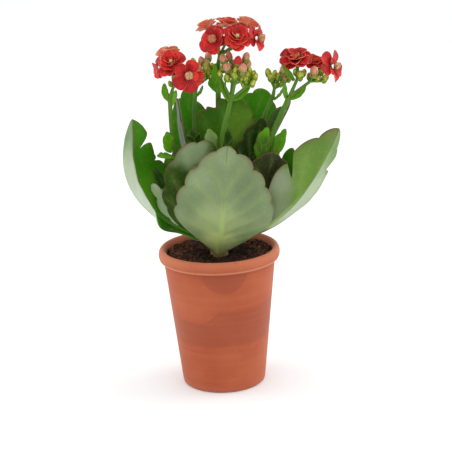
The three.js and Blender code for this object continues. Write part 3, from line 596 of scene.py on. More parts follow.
LEAVES = {
    # Its foot is painted paler against its shade, and its other patch colours are a painted grey
    # sheen.
    "leaf_front": leaf_of(
        [(0, -6, 102), (3, -44, 132), (9, -40, 190)], (0.05, 1, 0.3), 36,
        MID, (119, 138, 94), "foliage_pale", widest=0.46, round=0.62, swell=1.4, halves=(1.04, 1),
        lobes=(5.3, 4.4), depth=2.5, lean=-0.03, fold=(5, 5), curl=(12, 12), wax=0.35,
        patches=[
            ((-23, -36, 146), 13, (96, 116, 80), 0.6), ((22, -38, 158), 15, (98, 116, 78), 0.7),
            ((0, -34, 128), 26, (156, 172, 114), 0.7), ((0, -16, 112), 20, (186, 200, 128), 0.85),
            ((8, -40, 184), 14, (136, 152, 110), 0.6), ((24, -38, 138), 8, (104, 124, 84), 0.4),
            ((-12, -40, 166), 12, (140, 158, 116), 0.5),
        ],
    ),
    # A grey sheen is painted at its top, and its dark green underside is painted shade in its fold.
    "leaf_front_left": leaf_of(
        [(-1, -6, 113), (-28, -22, 138), (-2, -15, 188)], (0, 1, 0.25), 25,
        MID, (46, 76, 2), "foliage_green", widest=0.62, round=0.45, halves=(1.1, 1.02),
        fold=(4, 4),
        patches=[
            ((-17, -18, 182), 17, (136, 154, 116), 0.9), ((-30, -18, 178), 9, (108, 128, 82), 0.7),
        ],
    ),
    # Its underside is a painted grey sheen; its inner face is painted bright, as light shining
    # through, and dark at its foot, as painted shade.
    "leaf_left_outer": leaf_of(
        [(-11, -1, 111), (-86, -6, 142), (-59, 2, 203)], (0.9, -0.35, 0.2), 27,
        (68, 146, 0), (160, 174, 144), "foliage_green", round=0.45, halves=(1, 1.2),
        lobes=(3.5, 1.4), depth=2.4, fold=(44, 40), low_fold=(-5, 40), cuts=((1, 0.13, 0.8, 0.2),),
        slits=((-1, 0.772, 0.42, 0.055), (-1, 0.57, 0.14, 0.06)), wax=0.2,
        patches=[
            ((-50, -6, 138), 46, (182, 192, 172), 0.9), ((-64, -6, 168), 24, (158, 170, 142), 0.6),
            ((-66, -4, 202), 32, (86, 122, 70), 0.85),
            ((-44, -8, 150), 24, (104, 184, 0), 0.8, "upper"),
            ((-36, -12, 118), 16, (26, 76, 20), 0.75, "upper"),
        ],
    ),
    # The dark patch near its foot is painted shade.
    "leaf_left_inner": leaf_of(
        [(-10, -4, 119), (-31, -8, 130), (-47, -8, 157)], (-0.3, 0.9, 0.4), 9,
        MID, (186, 204, 162), "foliage_pale", root=2.6, swell=2, lobes=(2, 2), wax=0.3,
        patches=[((-24, -8, 122), 8, (60, 100, 18), 0.8)],
    ),
    "leaf_left_dark": leaf_of(
        [(-12, 0, 124), (-31, -2, 133.5), (-45, 0, 166)], (0.3, -0.9, 0.3), 7,
        (34, 84, 18), DEEP, "foliage_dark", root=2.2, swell=2, lobes=(2, 2),
    ),
    # Its grey patch colours are a painted sheen, palest on its lower lobe nearest the front.
    "leaf_right_outer": leaf_of(
        [(8, -2, 110), (57, -14, 119), (89, -16, 194)], (-0.45, 0.82, 0.34), 28,
        MID, (96, 132, 42), "foliage_green", widest=0.62, swell=2.4, round=0.6, lobes=(2.2, 3.1),
        depth=3, lean=0, fold=(27, 27), wave=1.2,
        cuts=((-1, 0.64, 0.42, 0.03), (-1, 0.45, 0.15, 0.2)), nicks=((1, 0.665, 8, 0.05),),
        wax=0.3,
        patches=[
            ((43, -10, 156), 19, (144, 152, 124), 0.9), ((40, -12, 136), 20, (122, 134, 104), 0.8),
            ((88, -15, 190), 13, (110, 124, 70), 0.6),
            ((60, -12, 138), 46, (168, 181, 152), 0.85, "plus"),
        ],
    ),
    # Its dark brownish greens are painted shade: it lies behind leaf_right_outer.
    "leaf_right_dark": leaf_of(
        [(6, -2, 119), (36, -7, 137), (42, -7, 176)], (0.1, 0.9, 0.4), 18,
        DEEP, (54, 58, 22), "foliage_dark", widest=0.6, round=0.45, lobes=(3, 3), depth=1.6,
        wax=0.25,
    ),
    "leaf_right_small": leaf_of(
        [(15, 4, 121), (46, 14, 131), (57, 9, 175)], (-0.3, -0.8, 0.4), 13,
        BACKLIT_GREEN, SAGE_GREEN, "foliage_green", root=2.6, lobes=(2, 2),
    ),
    # The lighter patch on its right half is painted light: that half faces the light more.
    "leaf_centre_back": leaf_of(
        [(2, 4, 134), (4, 17, 165), (18, 17, 213)], (0, -0.95, 0.3), 24,
        (58, 110, 0), SAGE_GREEN, "foliage_green", widest=0.7, round=0.5, halves=(1.1, 0.85),
        lobes=(3.6, 3), depth=2.2, fold=(2, 0),
        nicks=((1, 0.82, 4.5, 0.06), (1, 0.73, -1.2, 0.08)),
        slits=((-1, 0.88, 0.09, 0.05), (-1, 0.77, 0.1, 0.06)),
        patches=[((24, 17, 190), 22, (96, 142, 30), 0.85, "upper")],
    ),
    "leaf_back_right": leaf_of(
        [(3, 18, 130), (24, 38, 170), (38, 45, 213)], (-0.1, -0.9, 0.4), 18,
        BACKLIT_GREEN, SAGE_GREEN, "foliage_green", widest=0.7, round=0.5, lobes=(3, 3), fold=(5, 5),
    ),
    "leaf_back_left": leaf_of(
        [(-4, 18, 131), (-19, 34, 170), (-19, 33, 218)], (0.1, -0.9, 0.3), 15,
        BACKLIT_GREEN, SAGE_GREEN, "foliage_green", widest=0.62, lobes=(3, 3), fold=(5, 5),
    ),
    "leaf_left_edge": leaf_of(
        [(-13, 5, 137), (-22, 20, 171), (-26, 17, 214)], (-1, -0.27, 0.2), 9,
        SLATE, (130, 140, 134), "foliage_dark", lobes=(2, 2),
    ),
    "leaf_right_back_dark": leaf_of(
        [(5, 1, 137), (24, 14, 160), (36, 9, 198.5)], (0.1, -0.95, 0.1), 13,
        (34, 60, 8), DEEP, "foliage_dark", widest=0.6, round=0.55, lobes=(3, 3), fold=(8, 8),
    ),
    "leaf_right_behind": leaf_of(
        [(15, 8, 129), (34, 33, 166), (57, 22, 208)], (-0.8, -0.5, 0.4), 12,
        (60, 96, 34), (128, 138, 128), "foliage_dark", lobes=(3, 3), nicks=((-1, 0.8, -4, 0.2),),
        fold=(25, 25),
    ),
    "leaf_back_low_left": leaf_of(
        [(-4, 11, 113), (-28, 42, 126), (-30, 50, 168)], (0.4, -0.9, 0.3), 22,
        MID, SAGE, "foliage_green", fold=(12, 12),
    ),
    "leaf_back_low_right": leaf_of(
        [(3, 7, 110), (28, 42, 124), (38, 50, 164)], (-0.5, -0.9, 0.3), 22,
        MID, SAGE, "foliage_green", fold=(12, 12),
    ),
    "leaf_back_middle": leaf_of(
        [(0, 17, 123), (2, 48, 150), (6, 54, 192)], (0, -0.9, 0.3), 18,
        MID, SAGE, "foliage_green", lobes=(3, 3), wave=1,
    ),
}


def half_width(leaf, l):
    """Half width of a leaf, from its root at 0 to its tip at 1."""
    low = np.sin(np.pi / 2 * np.clip(l / leaf["widest"], 0, 1)) ** leaf["swell"]
    past = np.clip((l - leaf["widest"]) / (1 - leaf["widest"]), 0, 1)
    high = leaf["width"] * (1 - past**2) ** leaf["round"]
    return np.where(l <= leaf["widest"], leaf["root"] + (leaf["width"] - leaf["root"]) * low, high)


def reach(leaf, u):
    """How far up the leaf its outline has come at u, evenly spaced round the edge."""
    widest = leaf["widest"]
    corner = widest / (widest + (1 - widest) * math.pi / 2)
    over = np.clip((u - corner) / (1 - corner), 0, 1)
    upper = widest + (1 - widest) * np.sin(np.pi / 2 * over)
    return np.where(u <= corner, widest * u / corner, upper)


def leaf_length(leaf):
    root, bend, tip = (np.array(p, float) for p in leaf["path"])
    t = np.linspace(0, 1, 60)[:, None]
    spots = (1 - t) ** 2 * root + 2 * (1 - t) * t * bend + t**2 * tip
    return np.linalg.norm(np.diff(spots, axis=0), axis=1).sum()


def lobe_phase(leaf, u, sign):
    """How many lobes lie between a place on the edge and the tip, and its share of the edge."""
    fine = np.linspace(0, 1, 400)
    up = reach(leaf, fine)
    steps = np.hypot(np.diff(up) * leaf_length(leaf), np.diff(half_width(leaf, up)))
    share = np.interp(u, fine, np.concatenate([[0], np.cumsum(steps)]) / steps.sum())
    q = np.clip((1 - share) / (1 - leaf["smooth"]), 0, 1.4)
    return leaf["lobes"][sign < 0] * (q + leaf["lean"] * sign * np.sin(np.pi * q)), share


def dent(u, at, breadth):
    """1 at a place on the edge, easing to 0 a breadth away on either side."""
    return np.clip(1 - ((u - at) / breadth) ** 2, 0, 1) ** 2


def vein_foot(u):
    """How far up the midrib the side vein that ends at u leaves it."""
    return 0.86 * u**1.1


def edge_point(leaf, u, sign):
    """The scalloped edge at u, on the side that sign gives: how far up, and how far out."""
    l = reach(leaf, u)
    h = half_width(leaf, l)
    phase, share = lobe_phase(leaf, u, sign)
    deep = leaf["depth"] * (1 + 0.35 * np.sin(9 * share + 2 * sign + leaf["width"]))
    lobed = 1 - np.abs(np.cos(np.pi * phase)) ** 0.6
    pull = deep * np.clip((share - leaf["smooth"]) * 6, 0, 1) * lobed
    for side, at, depth, breadth in leaf["nicks"]:
        if side == sign:
            pull = pull + depth * dent(u, at, breadth)
    ahead, behind = reach(leaf, np.minimum(u + 1e-3, 1)), reach(leaf, np.maximum(u - 1e-3, 0))
    length = leaf_length(leaf)
    run = (ahead - behind) * length
    rise = half_width(leaf, ahead) - half_width(leaf, behind)
    size = np.maximum(np.hypot(run, rise), 1e-9)
    l, h = l + rise / size * pull / length, np.maximum(h - run / size * pull, 0)
    kept = 1.0
    for side, at, depth, breadth in leaf["cuts"]:
        if side == sign:
            kept = kept - depth * dent(u, at, breadth)
    # A slit is narrow, and the two lobes that it parts are round.
    for side, at, depth, breadth in leaf["slits"]:
        if side == sign:
            shut = 1 - np.clip(np.abs(u - at) / breadth, 0, 1)
            kept = kept - depth * (1 - np.sqrt(1 - shut**2))
    return vein_foot(u) + (l - vein_foot(u)) * kept, h * kept


def leaf_surface(leaf, l, s):
    """The middle of the blade at l up the midrib and s out to the side, and its normal."""
    root, bend, tip = (np.array(p, float) for p in leaf["path"])

    def spot(l, s):
        t = np.clip(l, 0, 1)[:, None]
        centre = (1 - t) ** 2 * root + 2 * (1 - t) * t * bend + t**2 * tip
        along = 2 * (1 - t) * (bend - root) + 2 * t * (tip - bend)
        along /= np.linalg.norm(along, axis=1, keepdims=True)
        face = np.array(leaf["face"], float)
        normal = face - along * (along @ face)[:, None]
        normal /= np.linalg.norm(normal, axis=1, keepdims=True)
        side = np.cross(normal, along)
        half = (s < 0).astype(int)
        out = np.abs(s) / leaf["width"]
        low, high = (np.radians(np.array(leaf[key], float))[half] for key in ("low_fold", "fold"))
        rising = np.clip((l - 0.16) / 0.18, 0, 1)
        rise = low + (high - low) * rising**2 * (3 - 2 * rising)
        turn = np.radians(np.array(leaf["curl"], float))[half] + 1e-6
        across = (np.sin(rise + turn * out) - np.sin(rise)) / turn
        up = (np.cos(rise) - np.cos(rise + turn * out)) / turn
        ripple = leaf["wave"] * out**2 * np.sin(6 * np.pi * l + 2 * half)
        there = centre + along * (l[:, None] - t) * leaf_length(leaf)
        there = there + side * (np.sign(s) * across * leaf["width"])[:, None]
        return there + normal * (up * leaf["width"] + ripple)[:, None]

    here = spot(l, s)
    aside = spot(l, s + 0.5) - spot(l, s - 0.5)
    normal = np.cross(spot(l + 0.005, s) - spot(l - 0.005, s), aside)
    return here, normal / np.linalg.norm(normal, axis=1, keepdims=True)


def grow_leaf(name, leaf, segments=72, rings=140):
    """One blade: a ball pressed flat, its sides drawn out along the side veins."""

    def place(up, turn):
        inward = np.abs(1 - 2 * np.abs(turn) / np.pi)
        v = np.sin(np.pi / 2 * inward) ** 1.6
        sign = np.where(np.abs(turn) < np.pi / 2, 1, -1)
        top = np.where(turn >= 0, 1, -1)
        edges = [edge_point(leaf, up, side) for side in (1, -1)]
        edge_l, edge_h = (np.where(sign > 0, *pair) for pair in zip(*edges))
        l = vein_foot(up) + (edge_l - vein_foot(up)) * v
        half = np.array(leaf["halves"])[(sign < 0).astype(int)]
        s = np.where(off_poles(up), sign * half * edge_h * v, 0)
        l = np.where(up > 1 - 1e-4, 1.0, l)
        here, normal = leaf_surface(leaf, l, s)
        blade = leaf["blade"]
        out = np.clip(np.abs(s) / leaf["width"], 0, 1)
        thick = blade["rib"] + (blade["margin"] - blade["rib"]) * out
        thick += (blade["petiole"] - thick) * np.clip(1 - l / 0.3, 0, 1) ** 2
        thick = thick / 2 * np.sqrt(np.clip(1 - v**10, 0, 1))
        vein = np.where(sign > 0, *(lobe_phase(leaf, up, side)[0] for side in (1, -1)))
        ribbed = np.cos(2 * np.pi * vein) * np.clip(v * 5, 0, 1) * (1 - v**2)
        ribbed = ribbed * 0.008 * leaf["width"] * np.clip((up - 0.12) * 4, 0, 1)
        proud = 0.035 * leaf["width"] * np.clip(1.05 - l, 0, 1) ** 1.3
        rib = proud * np.exp(-((s / (0.05 * leaf["width"] + 0.4)) ** 2)) * off_poles(up)
        lift = top * thick - np.where(top < 0, rib + ribbed, 0.5 * rib + 0.6 * ribbed)
        marks = np.stack([vein, sign * v, top.astype(float)], 1)
        return here + normal * lift[:, None], marks

    return drawn_ball(name, segments, rings, place)


def leaf_finish(name, upper, under, lobes, patches, wax):
    """Waxy leaf skin: pale midrib, broad faint side veins, mottling and a brown scalloped rim.

    A patch is a spot and radius in mm, a colour and its share. Most are painted light: a painted
    grey sheen, painted shade and bright green painted where light shines through the blade, with
    some of the leaf's own tone among them. A patch lies on the underside, unless it says "upper",
    and "plus" keeps it to the half of the blade on that side of the midrib.
    """
    finish = Finish(name, wax, 0.12)
    vein, across, top = finish.form()
    rootward = vein * (1 / max(lobes))
    out = abs(across)
    cloud = finish.noise(38, 3)
    fleck = finish.noise(420, 3)
    line = vein + (finish.noise(60, 2) - 0.5) * 0.5 + out * 0.12
    apart = abs(line - line.math("ROUND"))
    fading = out.step(1.0, 0.65)
    broad_vein = apart.step(0.34, 0.02) * fading
    thin_vein = (apart / (0.03 + (1 - out) * 0.05)).step(1.0, 0.3) * fading
    midrib = out.step(0.085, 0.02) * rootward.step(0.12, 0.75)
    veins = midrib.math("MAXIMUM", broad_vein * 0.3 + thin_vein * 0.12)
    shaded_under, shaded_upper = (tuple(0.6 * c for c in srgb(*t)) for t in (under, upper))
    below = finish.mix(cloud.step(0.42, 0.66) * 0.3, under, shaded_under)
    above = finish.mix(cloud.step(0.4, 0.7) * 0.45, upper, shaded_upper)
    upper_side, lower_side = top.step(-0.2, 0.2), top.step(0.2, -0.2)
    layers = []
    # Most of these layers are painted light: painted sheen, painted shade and light shining
    # through.
    for spot, radius, tint, share, *where in patches:
        here = finish.patch(spot, radius) * share
        here = here * (upper_side if "upper" in where else lower_side)
        if "plus" in where:
            here = here * across.step(0.0, 0.15)
        layers.append((here, tint))
    # The midrib turns brown at the tip and at the foot, where a few scars are scattered.
    scars = finish.noise(330, 2).step(0.62, 0.7) * rootward.step(0.95, 1.3) * out.step(0.4, 0.1)
    brown_line = out.step(0.03, 0.0) * rootward.step(0.5, 0.1)
    ragged = out + (finish.noise(150, 2) - 0.5) * 0.08
    near_tip = (rootward + (cloud - 0.5) * 0.8).step(1.05, 0.4)
    finish.colour(
        finish.mix(top.step(-0.5, 0.5), below, above),
        *layers,
        (veins * 0.42, (152, 178, 88)),
        (midrib * lower_side * 0.5, (172, 190, 116)),
        (fleck.step(0.5, 0.75) * 0.12, (176, 190, 110)),
        (scars * 0.6, (112, 84, 50)),
        (brown_line * 0.35, (128, 104, 62)),
        (ragged.step(0.88, 1.0) * near_tip * 0.45, (100, 86, 48)),
        (ragged.step(0.974, 0.992) * (0.15 + near_tip * 0.75), (108, 74, 50)),
    )
    finish.rough(0.4 + fleck * 0.16)
    finish.bump(veins * (0.35 - top.step(0.5, -0.5) * 0.5) + finish.noise(320, 3) * 0.2, 0.4 * MM)
    return finish


for name, leaf in LEAVES.items():
    blade = grow_leaf(name + "_blade", leaf)
    shades = (leaf[key] for key in ("upper", "under", "lobes", "patches", "wax"))
    finished(blade, leaf_finish(name + "_skin", *shades), [name])

# ---- Flower stalks ---------------------------------------------------------------------------
# Round green stalks, each forking near its top into thin twigs that carry the blooms and buds.
# Small scalloped leaves sit in pairs at the joints, and a plain narrow bract under each fork.
# A bud is given by its place, its size and how ripe it is, from 0 for green to 2 for red.

TWIG = {"root": 1.5, "end": 1.2, "bud": 0.8, "bloom": 1.05}
SMALL = {"petiole": 1.7, "rib": 1.1, "margin": 0.7}
BUD_LENGTH, BUD_RADIUS = 7.5, 2.3
CUP_LENGTH, TWIG_END, TWIG_BEND = 7.5, 7.4, 9.0  # the last two are how far below a bloom, mm


def small_leaf(root, bend, tip, face, width=6.0, lobes=(2, 2)):
    return LEAF | dict(
        path=[root, bend, tip], face=face, width=width, root=1.6, lobes=lobes, lean=0.05,
        depth=1.2, fold=(12, 12), low_fold=(12, 12), curl=(8, 8), wave=0.3, blade=SMALL,
    )


def bract(root, bend, tip, face, width=3.0):
    return small_leaf(root, bend, tip, face, width, (0, 0)) | {"root": 1.2, "depth": 0}


STALKS = {
    "stalk_centre_front": dict(
        path=[(3, 2, 145), (1, -5, 168), (5, -7, 187), (13, -8, 216)],
        radii=[2.6, 2.2, 1.9, 1.7],
        forks=[(9, -9, 226), (16, -12, 228), (24, -9, 225), (15, -5, 231)],
        leaves=[
            small_leaf((2, -6, 176), (-3, -7, 184), (-4, -9, 196), (0.2, -0.9, 0.4)),
            small_leaf((4, -5, 172), (9, 0, 180), (10, 0, 194), (-0.2, -0.9, 0.4)),
            bract((12, -8, 215), (6, -10, 222), (5, -10, 233), (0.8, -0.5, 0.3)),
            bract((14, -8, 216), (20, -8, 217), (27, -8, 225), (-0.3, -0.7, 0.7)),
        ],
        buds=[
            (9, -6, 245, 1.2, 0.9), (13, -4, 247, 1.0, 1.45), (11, -12, 240, 1.1, 1.0),
            (19, -11, 244, 1.25, 2.0), (25, -6, 246, 1.1, 0.8), (22, -14, 239, 1.25, 1.0),
            (6, -8, 235, 0.8, 0.1), (11, -14, 233, 0.8, 0.2), (16, -17, 235, 0.85, 0.0),
            (24, -11, 231, 0.8, 0.1), (27, -5, 236, 0.85, 0.1), (31, -8, 232, 0.85, 0.2),
            (29, -11, 228, 0.8, 0.0), (14, -10, 236, 0.8, 0.3), (19, -12, 235, 0.8, 0.1),
            (10, -11, 233, 0.7, 0.05), (15, -8, 230, 0.7, 0), (21, -10, 231, 0.75, 0.05),
            (25, -8, 234, 0.8, 0.1), (27, -6, 232, 0.75, 0.05), (22, -9, 227, 0.65, 0),
            (28, -7, 228, 0.7, 0), (26, -4, 240, 1.05, 0.95), (15, -1, 241, 0.95, 0.9),
            (8, -4, 238, 0.8, 0.3), (21, -4, 240, 0.95, 0.9), (17, -13, 238, 0.8, 0.3),
            (13, -8, 240, 0.8, 0.6), (30, -6, 234, 0.75, 0.1),
        ],
    ),
    "stalk_centre_back": dict(
        path=[(-1, 18, 141), (3, 24, 175), (4, 21, 213), (5, 8, 240)],
        radii=[2.8, 2.4, 2.1, 1.8],
        forks=[(6, 5, 246)],
        leaves=[small_leaf((4, 19, 217), (0, 4, 224), (3, 3, 241), (-0.3, -0.9, 0.2), 5.0)],
        buds=[],
    ),
    "stalk_left_front": dict(
        path=[(-17, 2, 136), (-25, 0, 164), (-30, 0, 187), (-31, -2, 217)],
        radii=[2.4, 2, 1.8, 1.6],
        forks=[(-28, -3, 226)],
        leaves=[
            bract((-31, -2, 216), (-36, -3, 221), (-34, -2, 229), (0.5, -0.8, 0.3)),
            bract((-30, -2, 213), (-27, -4, 217), (-26, -4, 224), (-0.6, -0.7, 0.3)),
            small_leaf((-31, 0, 178), (-35, -3, 184), (-34, -4, 194), (0.5, -0.8, 0.2)),
            small_leaf((-30, 0, 174), (-36, -5, 175), (-42, -8, 177), (0.2, -0.3, 0.9), 5.0),
        ],
        buds=[(-26, -6, 234, 0.85, 0.1), (-23, -8, 229, 0.65, 0), (-30, -4, 229, 0.65, 0)],
    ),
    "stalk_left_back": dict(
        path=[(1, 1, 142), (-8, 3, 160), (-12, 4, 177), (-14, 6, 199), (-12, 8, 224)],
        radii=[2.2, 2, 1.8, 1.7, 1.5],
        forks=[(-9, 8, 229), (-3, 8, 230)],
        leaves=[
            small_leaf((-12, 4, 181), (-16, 0, 186), (-16, 1, 194), (0.1, -0.9, 0.3)),
            bract((-12, 8, 217), (-8, 8, 218), (-7, 10, 224), (-0.6, -0.4, 0.7), 2.0),
        ],
        buds=[
            (-13, 10, 241, 1.0, 0.2), (-7, 13, 241, 1.1, 0.8), (-2, 15, 244, 1.1, 1.0),
            (-4, 5, 238, 1.05, 0.4), (0, 13, 236, 1.1, 0.3), (-9, 3, 237, 1.0, 0.9),
            (-6, 6, 234, 0.8, 0.3), (-2, 5, 235, 0.8, 0.1), (3, 10, 237, 0.8, 0.1),
            (-6, 5, 230, 0.6, 0), (-1, 6, 231, 0.65, 0.1), (-11, 3, 234, 0.8, 0.8),
            (-3, 9, 240, 0.85, 0.5), (-9, 7, 239, 0.8, 0.6),
        ],
    ),
    "stalk_right_front": dict(
        path=[(20, 3, 137), (34, -1, 169), (46, -3, 197), (55, -2, 215)],
        radii=[2.8, 2.5, 2.2, 2],
        forks=[(61, -3, 228), (70, -3, 226)],
        leaves=[
            small_leaf((33, 0, 168), (33, -3, 180), (39, -3, 194), (-0.1, -0.9, 0.3)),
            small_leaf((35, 0, 169), (44, 2, 172), (52, 3, 191), (-0.4, -0.9, 0.2)),
            bract((54, -2, 213), (50, -3, 219), (52, -3, 227), (0.7, -0.6, 0.3)),
            bract((55, -2, 214), (64, -3, 215), (67, -4, 224), (-0.4, -0.6, 0.7)),
            bract((59, -3, 227), (54, -4, 234), (50, -9, 240), (0.6, -0.7, 0.3), 2.5),
        ],
        buds=[
            (73, -8, 234, 1.25, 1.0), (63, -7, 232, 1.0, 0.3), (81, -3, 228, 1.0, 0.3),
            (66, 0, 232, 0.85, 0.3), (60, 0, 233, 0.75, 0.2), (70, 2, 229, 0.8, 0.3),
            (76, -3, 228, 0.75, 0.2), (79, 2, 232, 0.9, 0.3), (64, 0, 228, 0.6, 0),
        ],
    ),
    "stalk_right_back": dict(
        path=[(1, 17, 137), (14, 21, 156), (27, 19, 176), (37, 15, 198), (44, 12, 214)],
        radii=[2.3, 2.1, 1.9, 1.7, 1.5],
        forks=[(45, 12, 219)],
        leaves=[bract((44, 12, 211), (50, 12, 213), (52, 13, 220), (-0.6, -0.3, 0.7), 2.0)],
        buds=[
            (41, 12, 231, 1.0, 0.2), (42, 7, 228, 0.8, 0.1), (46, 16, 229, 0.9, 0.2),
            (50, 17, 228, 0.9, 0.3), (56, 14, 226, 0.9, 0.6), (52, 9, 233, 1.2, 1.0),
            (44, 12, 228, 0.8, 0.1), (48, 12, 227, 0.8, 0.2), (52, 12, 226, 0.85, 0.7),
            (55, 12, 229, 0.8, 0.8), (46, 12, 222, 0.6, 0), (50, 12, 222, 0.6, 0),
        ],
    ),
}

# Each bloom: the stalk that holds it, its place, the way it looks, its radius, its rows of petals
# and the radius of its inner bud. A row is a number of petals, their lift in degrees and their
# share of the radius. The twigs below need the places.
DOUBLE = [(7, 2, 1.0), (7, 18, 0.92), (6, 34, 0.8), (5, 52, 0.62), (4, 70, 0.42)]
CLOSED = [(8, 2, 1.0), (7, 16, 0.9), (7, 34, 0.76), (5, 54, 0.6), (4, 72, 0.46)]
CUPPED = [(7, 22, 1.0), (6, 38, 0.88), (5, 54, 0.7), (4, 70, 0.5)]
HALF = [(6, 3, 1.0), (5, 24, 0.8), (3, 58, 0.5)]
SINGLE = [(5, 2, 1.0), (3, 24, 0.64)]
BLOOMS = {
    "bloom_top_left": ("stalk_centre_back", (3, -9, 260), (-0.3, -0.9, 0.3), 10.5, HALF, 3.0),
    "bloom_top_front": ("stalk_centre_back", (19, -10, 260), (0.1, -0.75, 0.65), 10.8, DOUBLE, 1.8),
    "bloom_top_right": ("stalk_centre_back", (32, -3, 259), (0.85, -0.5, 0.1), 10, SINGLE, 3.0),
    "bloom_top_back_left": ("stalk_centre_back", (-1, 8, 265), (-0.4, 0.3, 0.85), 8, CUPPED, 0),
    "bloom_top_back": ("stalk_centre_back", (12, 8, 266), (0, 0.3, 1), 11, CLOSED, 0),
    "bloom_top_back_right": ("stalk_centre_back", (26, 8, 265), (0.4, 0.5, 0.8), 9, CUPPED, 0),
    "bloom_left_front": ("stalk_left_front", (-17, -12, 236), (0.2, -0.95, 0.1), 11, SINGLE, 3.0),
    "bloom_left_double": ("stalk_left_front", (-28, -4, 243), (-0.1, -0.8, 0.6), 11, DOUBLE, 1.8),
    "bloom_left_side": ("stalk_left_front", (-37, 1, 240), (-0.9, -0.3, 0.2), 8, SINGLE, 0),
    "bloom_left_back": ("stalk_left_front", (-30, 9, 245), (-0.2, 0.5, 0.8), 10, CUPPED, 0),
    "bloom_right_double": ("stalk_right_front", (61, -3, 242), (-0.1, -0.4, 0.9), 12, CLOSED, 0),
    "bloom_right_middle": ("stalk_right_front", (74, 3, 238), (0.3, -0.3, 0.9), 8, CLOSED, 0),
    "bloom_right_side": ("stalk_right_front", (86, 0, 236), (0.8, -0.55, 0.15), 11, SINGLE, 2.6),
}


def unit(direction):
    direction = np.array(direction, float)
    return direction / np.linalg.norm(direction)


def nearest(places, spot):
    return min(places, key=lambda place: math.dist(place, spot))


def frame_of(axis):
    """Two directions square to the axis and to each other."""
    across = unit(np.cross((1, 0.2, 0.1), axis))
    return across, np.cross(axis, across)


def swollen_bud(up, turn):
    """Four petals wrapped to a blunt point, standing on the flat."""
    around = np.where(up < 0.5, np.interp(up, [0, 0.12, 0.3, 0.5], [0.3, 0.6, 0.92, 1]), 1)
    around = np.where(up > 0.5, np.cos((up - 0.5) * np.pi) ** 0.6, around) * (up > 1e-4)
    fold = 1 + 0.08 * np.cos(4 * turn + 2.4 * up) * np.clip(up * 3, 0, 1)
    r = BUD_RADIUS * np.clip(around, 0.05, 1) * fold * (up < 1 - 1e-4)
    spots = np.stack([r * np.cos(turn), r * np.sin(turn), up * BUD_LENGTH], 1)
    return spots, np.stack([up, 4 * turn + 2.4 * up, 0 * up + 1], 1)


def sepal(up, turn):
    """One of the four green scales that hold a bud, leaning out along +X."""
    v = np.cos(turn)
    wide = 0.85 * BUD_RADIUS * np.sin(np.pi * np.clip(up * 0.92 + 0.08, 0, 1)) ** 0.8
    r = BUD_RADIUS * (0.35 + 0.68 * up**0.6) + np.where(turn >= 0, 0.28, 0)
    r = r - 0.25 * (v * wide) ** 2 / BUD_RADIUS
    spots = np.stack([r, v * wide, (up * 0.46 - 0.04) * BUD_LENGTH], 1)
    return spots, np.stack([up * 0, up * 0, 0 * up - 1], 1)


def placed_copy(pattern, matrix, tint):
    """A copy with its own mesh, put in place; its third mark is multiplied by the tint."""
    twin = copy_of(pattern)
    twin.data.transform(matrix)
    form = twin.data.attributes["form"].data
    marks = np.empty(len(form) * 3, np.float32)
    form.foreach_get("vector", marks)
    marks[2::3] *= tint
    form.foreach_set("vector", marks)
    return twin


def standing(origin, ahead, side, up, scale):
    """The matrix that puts a pattern at a place in mm, its X ahead, its Y aside and its Z up."""
    turn = Matrix([Vector(ahead), Vector(side), Vector(up)]).transposed().to_4x4()
    return Matrix.Translation(Vector(origin) * MM) @ turn @ Matrix.Diagonal((*scale, 1))


sepals = [drawn_ball("sepal", 8, 6, sepal)]
for k in range(1, 4):
    sepals.append(copy_of(sepals[0]))
    sepals[k].data.transform(Matrix.Rotation(k * math.pi / 2, 4, "Z"))
bud_pattern = joined("bud_pattern", [drawn_ball("closed_bud", 16, 12, swollen_bud), *sepals])


def cup(spot, facing):
    """The green tube under a bloom, flared at its mouth."""
    axis = unit(facing)
    across, other = frame_of(axis)
    mouth = np.array(spot) - axis * 0.3

    def place(up, turn):
        r = np.interp(up, [0, 0.02, 0.25, 0.6, 0.9, 1], [0.6, 1.05, 1.5, 1.5, 2.2, 2.4])
        r = r * (1 + 0.12 * np.cos(4 * turn) * up) * off_poles(up)
        out = across * np.cos(turn)[:, None] + other * np.sin(turn)[:, None]
        down = (1 - up) * CUP_LENGTH
        return mouth - axis * down[:, None] + out * r[:, None], np.stack([up, turn, 0 * up], 1)

    return drawn_ball("cup", 16, 12, place)


stalk_skin = Finish("stalk_skin", 0.2, 0.1)
stalk_x, _, stalk_z = stalk_skin.parts(stalk_skin.place())
streak = stalk_skin.noise(1.0, 3, stretch=(700, 700, 60))
# The stalk at the back on the left is painted darker low down, as painted shade.
painted_shade_back_stalk = stalk_x.step(-20 * MM, -17 * MM) * stalk_x.step(-4 * MM, -7 * MM)
stalk_skin.colour(
    stalk_skin.mix(stalk_z.step(150 * MM, 235 * MM), (56, 94, 14), (84, 126, 34)),
    (streak.step(0.4, 0.7) * 0.35, (112, 146, 56)),
    (stalk_skin.noise(45, 2).step(0.55, 0.75) * 0.35, (44, 76, 14)),
    (painted_shade_back_stalk * stalk_z.step(222 * MM, 205 * MM) * 0.6, (34, 64, 4)),
)
stalk_skin.rough(0.46)
stalk_skin.bump(streak + stalk_skin.noise(900, 2) * 0.4, 0.25 * MM)

bud_skin = Finish("bud_skin", 0.3, 0.12)
bud_up, bud_fold, bud_ripe = bud_skin.form()
bud_noise = bud_skin.noise(350, 3)
green_bud = bud_skin.mix(bud_noise.step(0.35, 0.65), (126, 146, 8), (196, 198, 84))
pink_bud = bud_skin.mix(bud_up.step(0.15, 0.7), (150, 128, 60), (202, 134, 106))
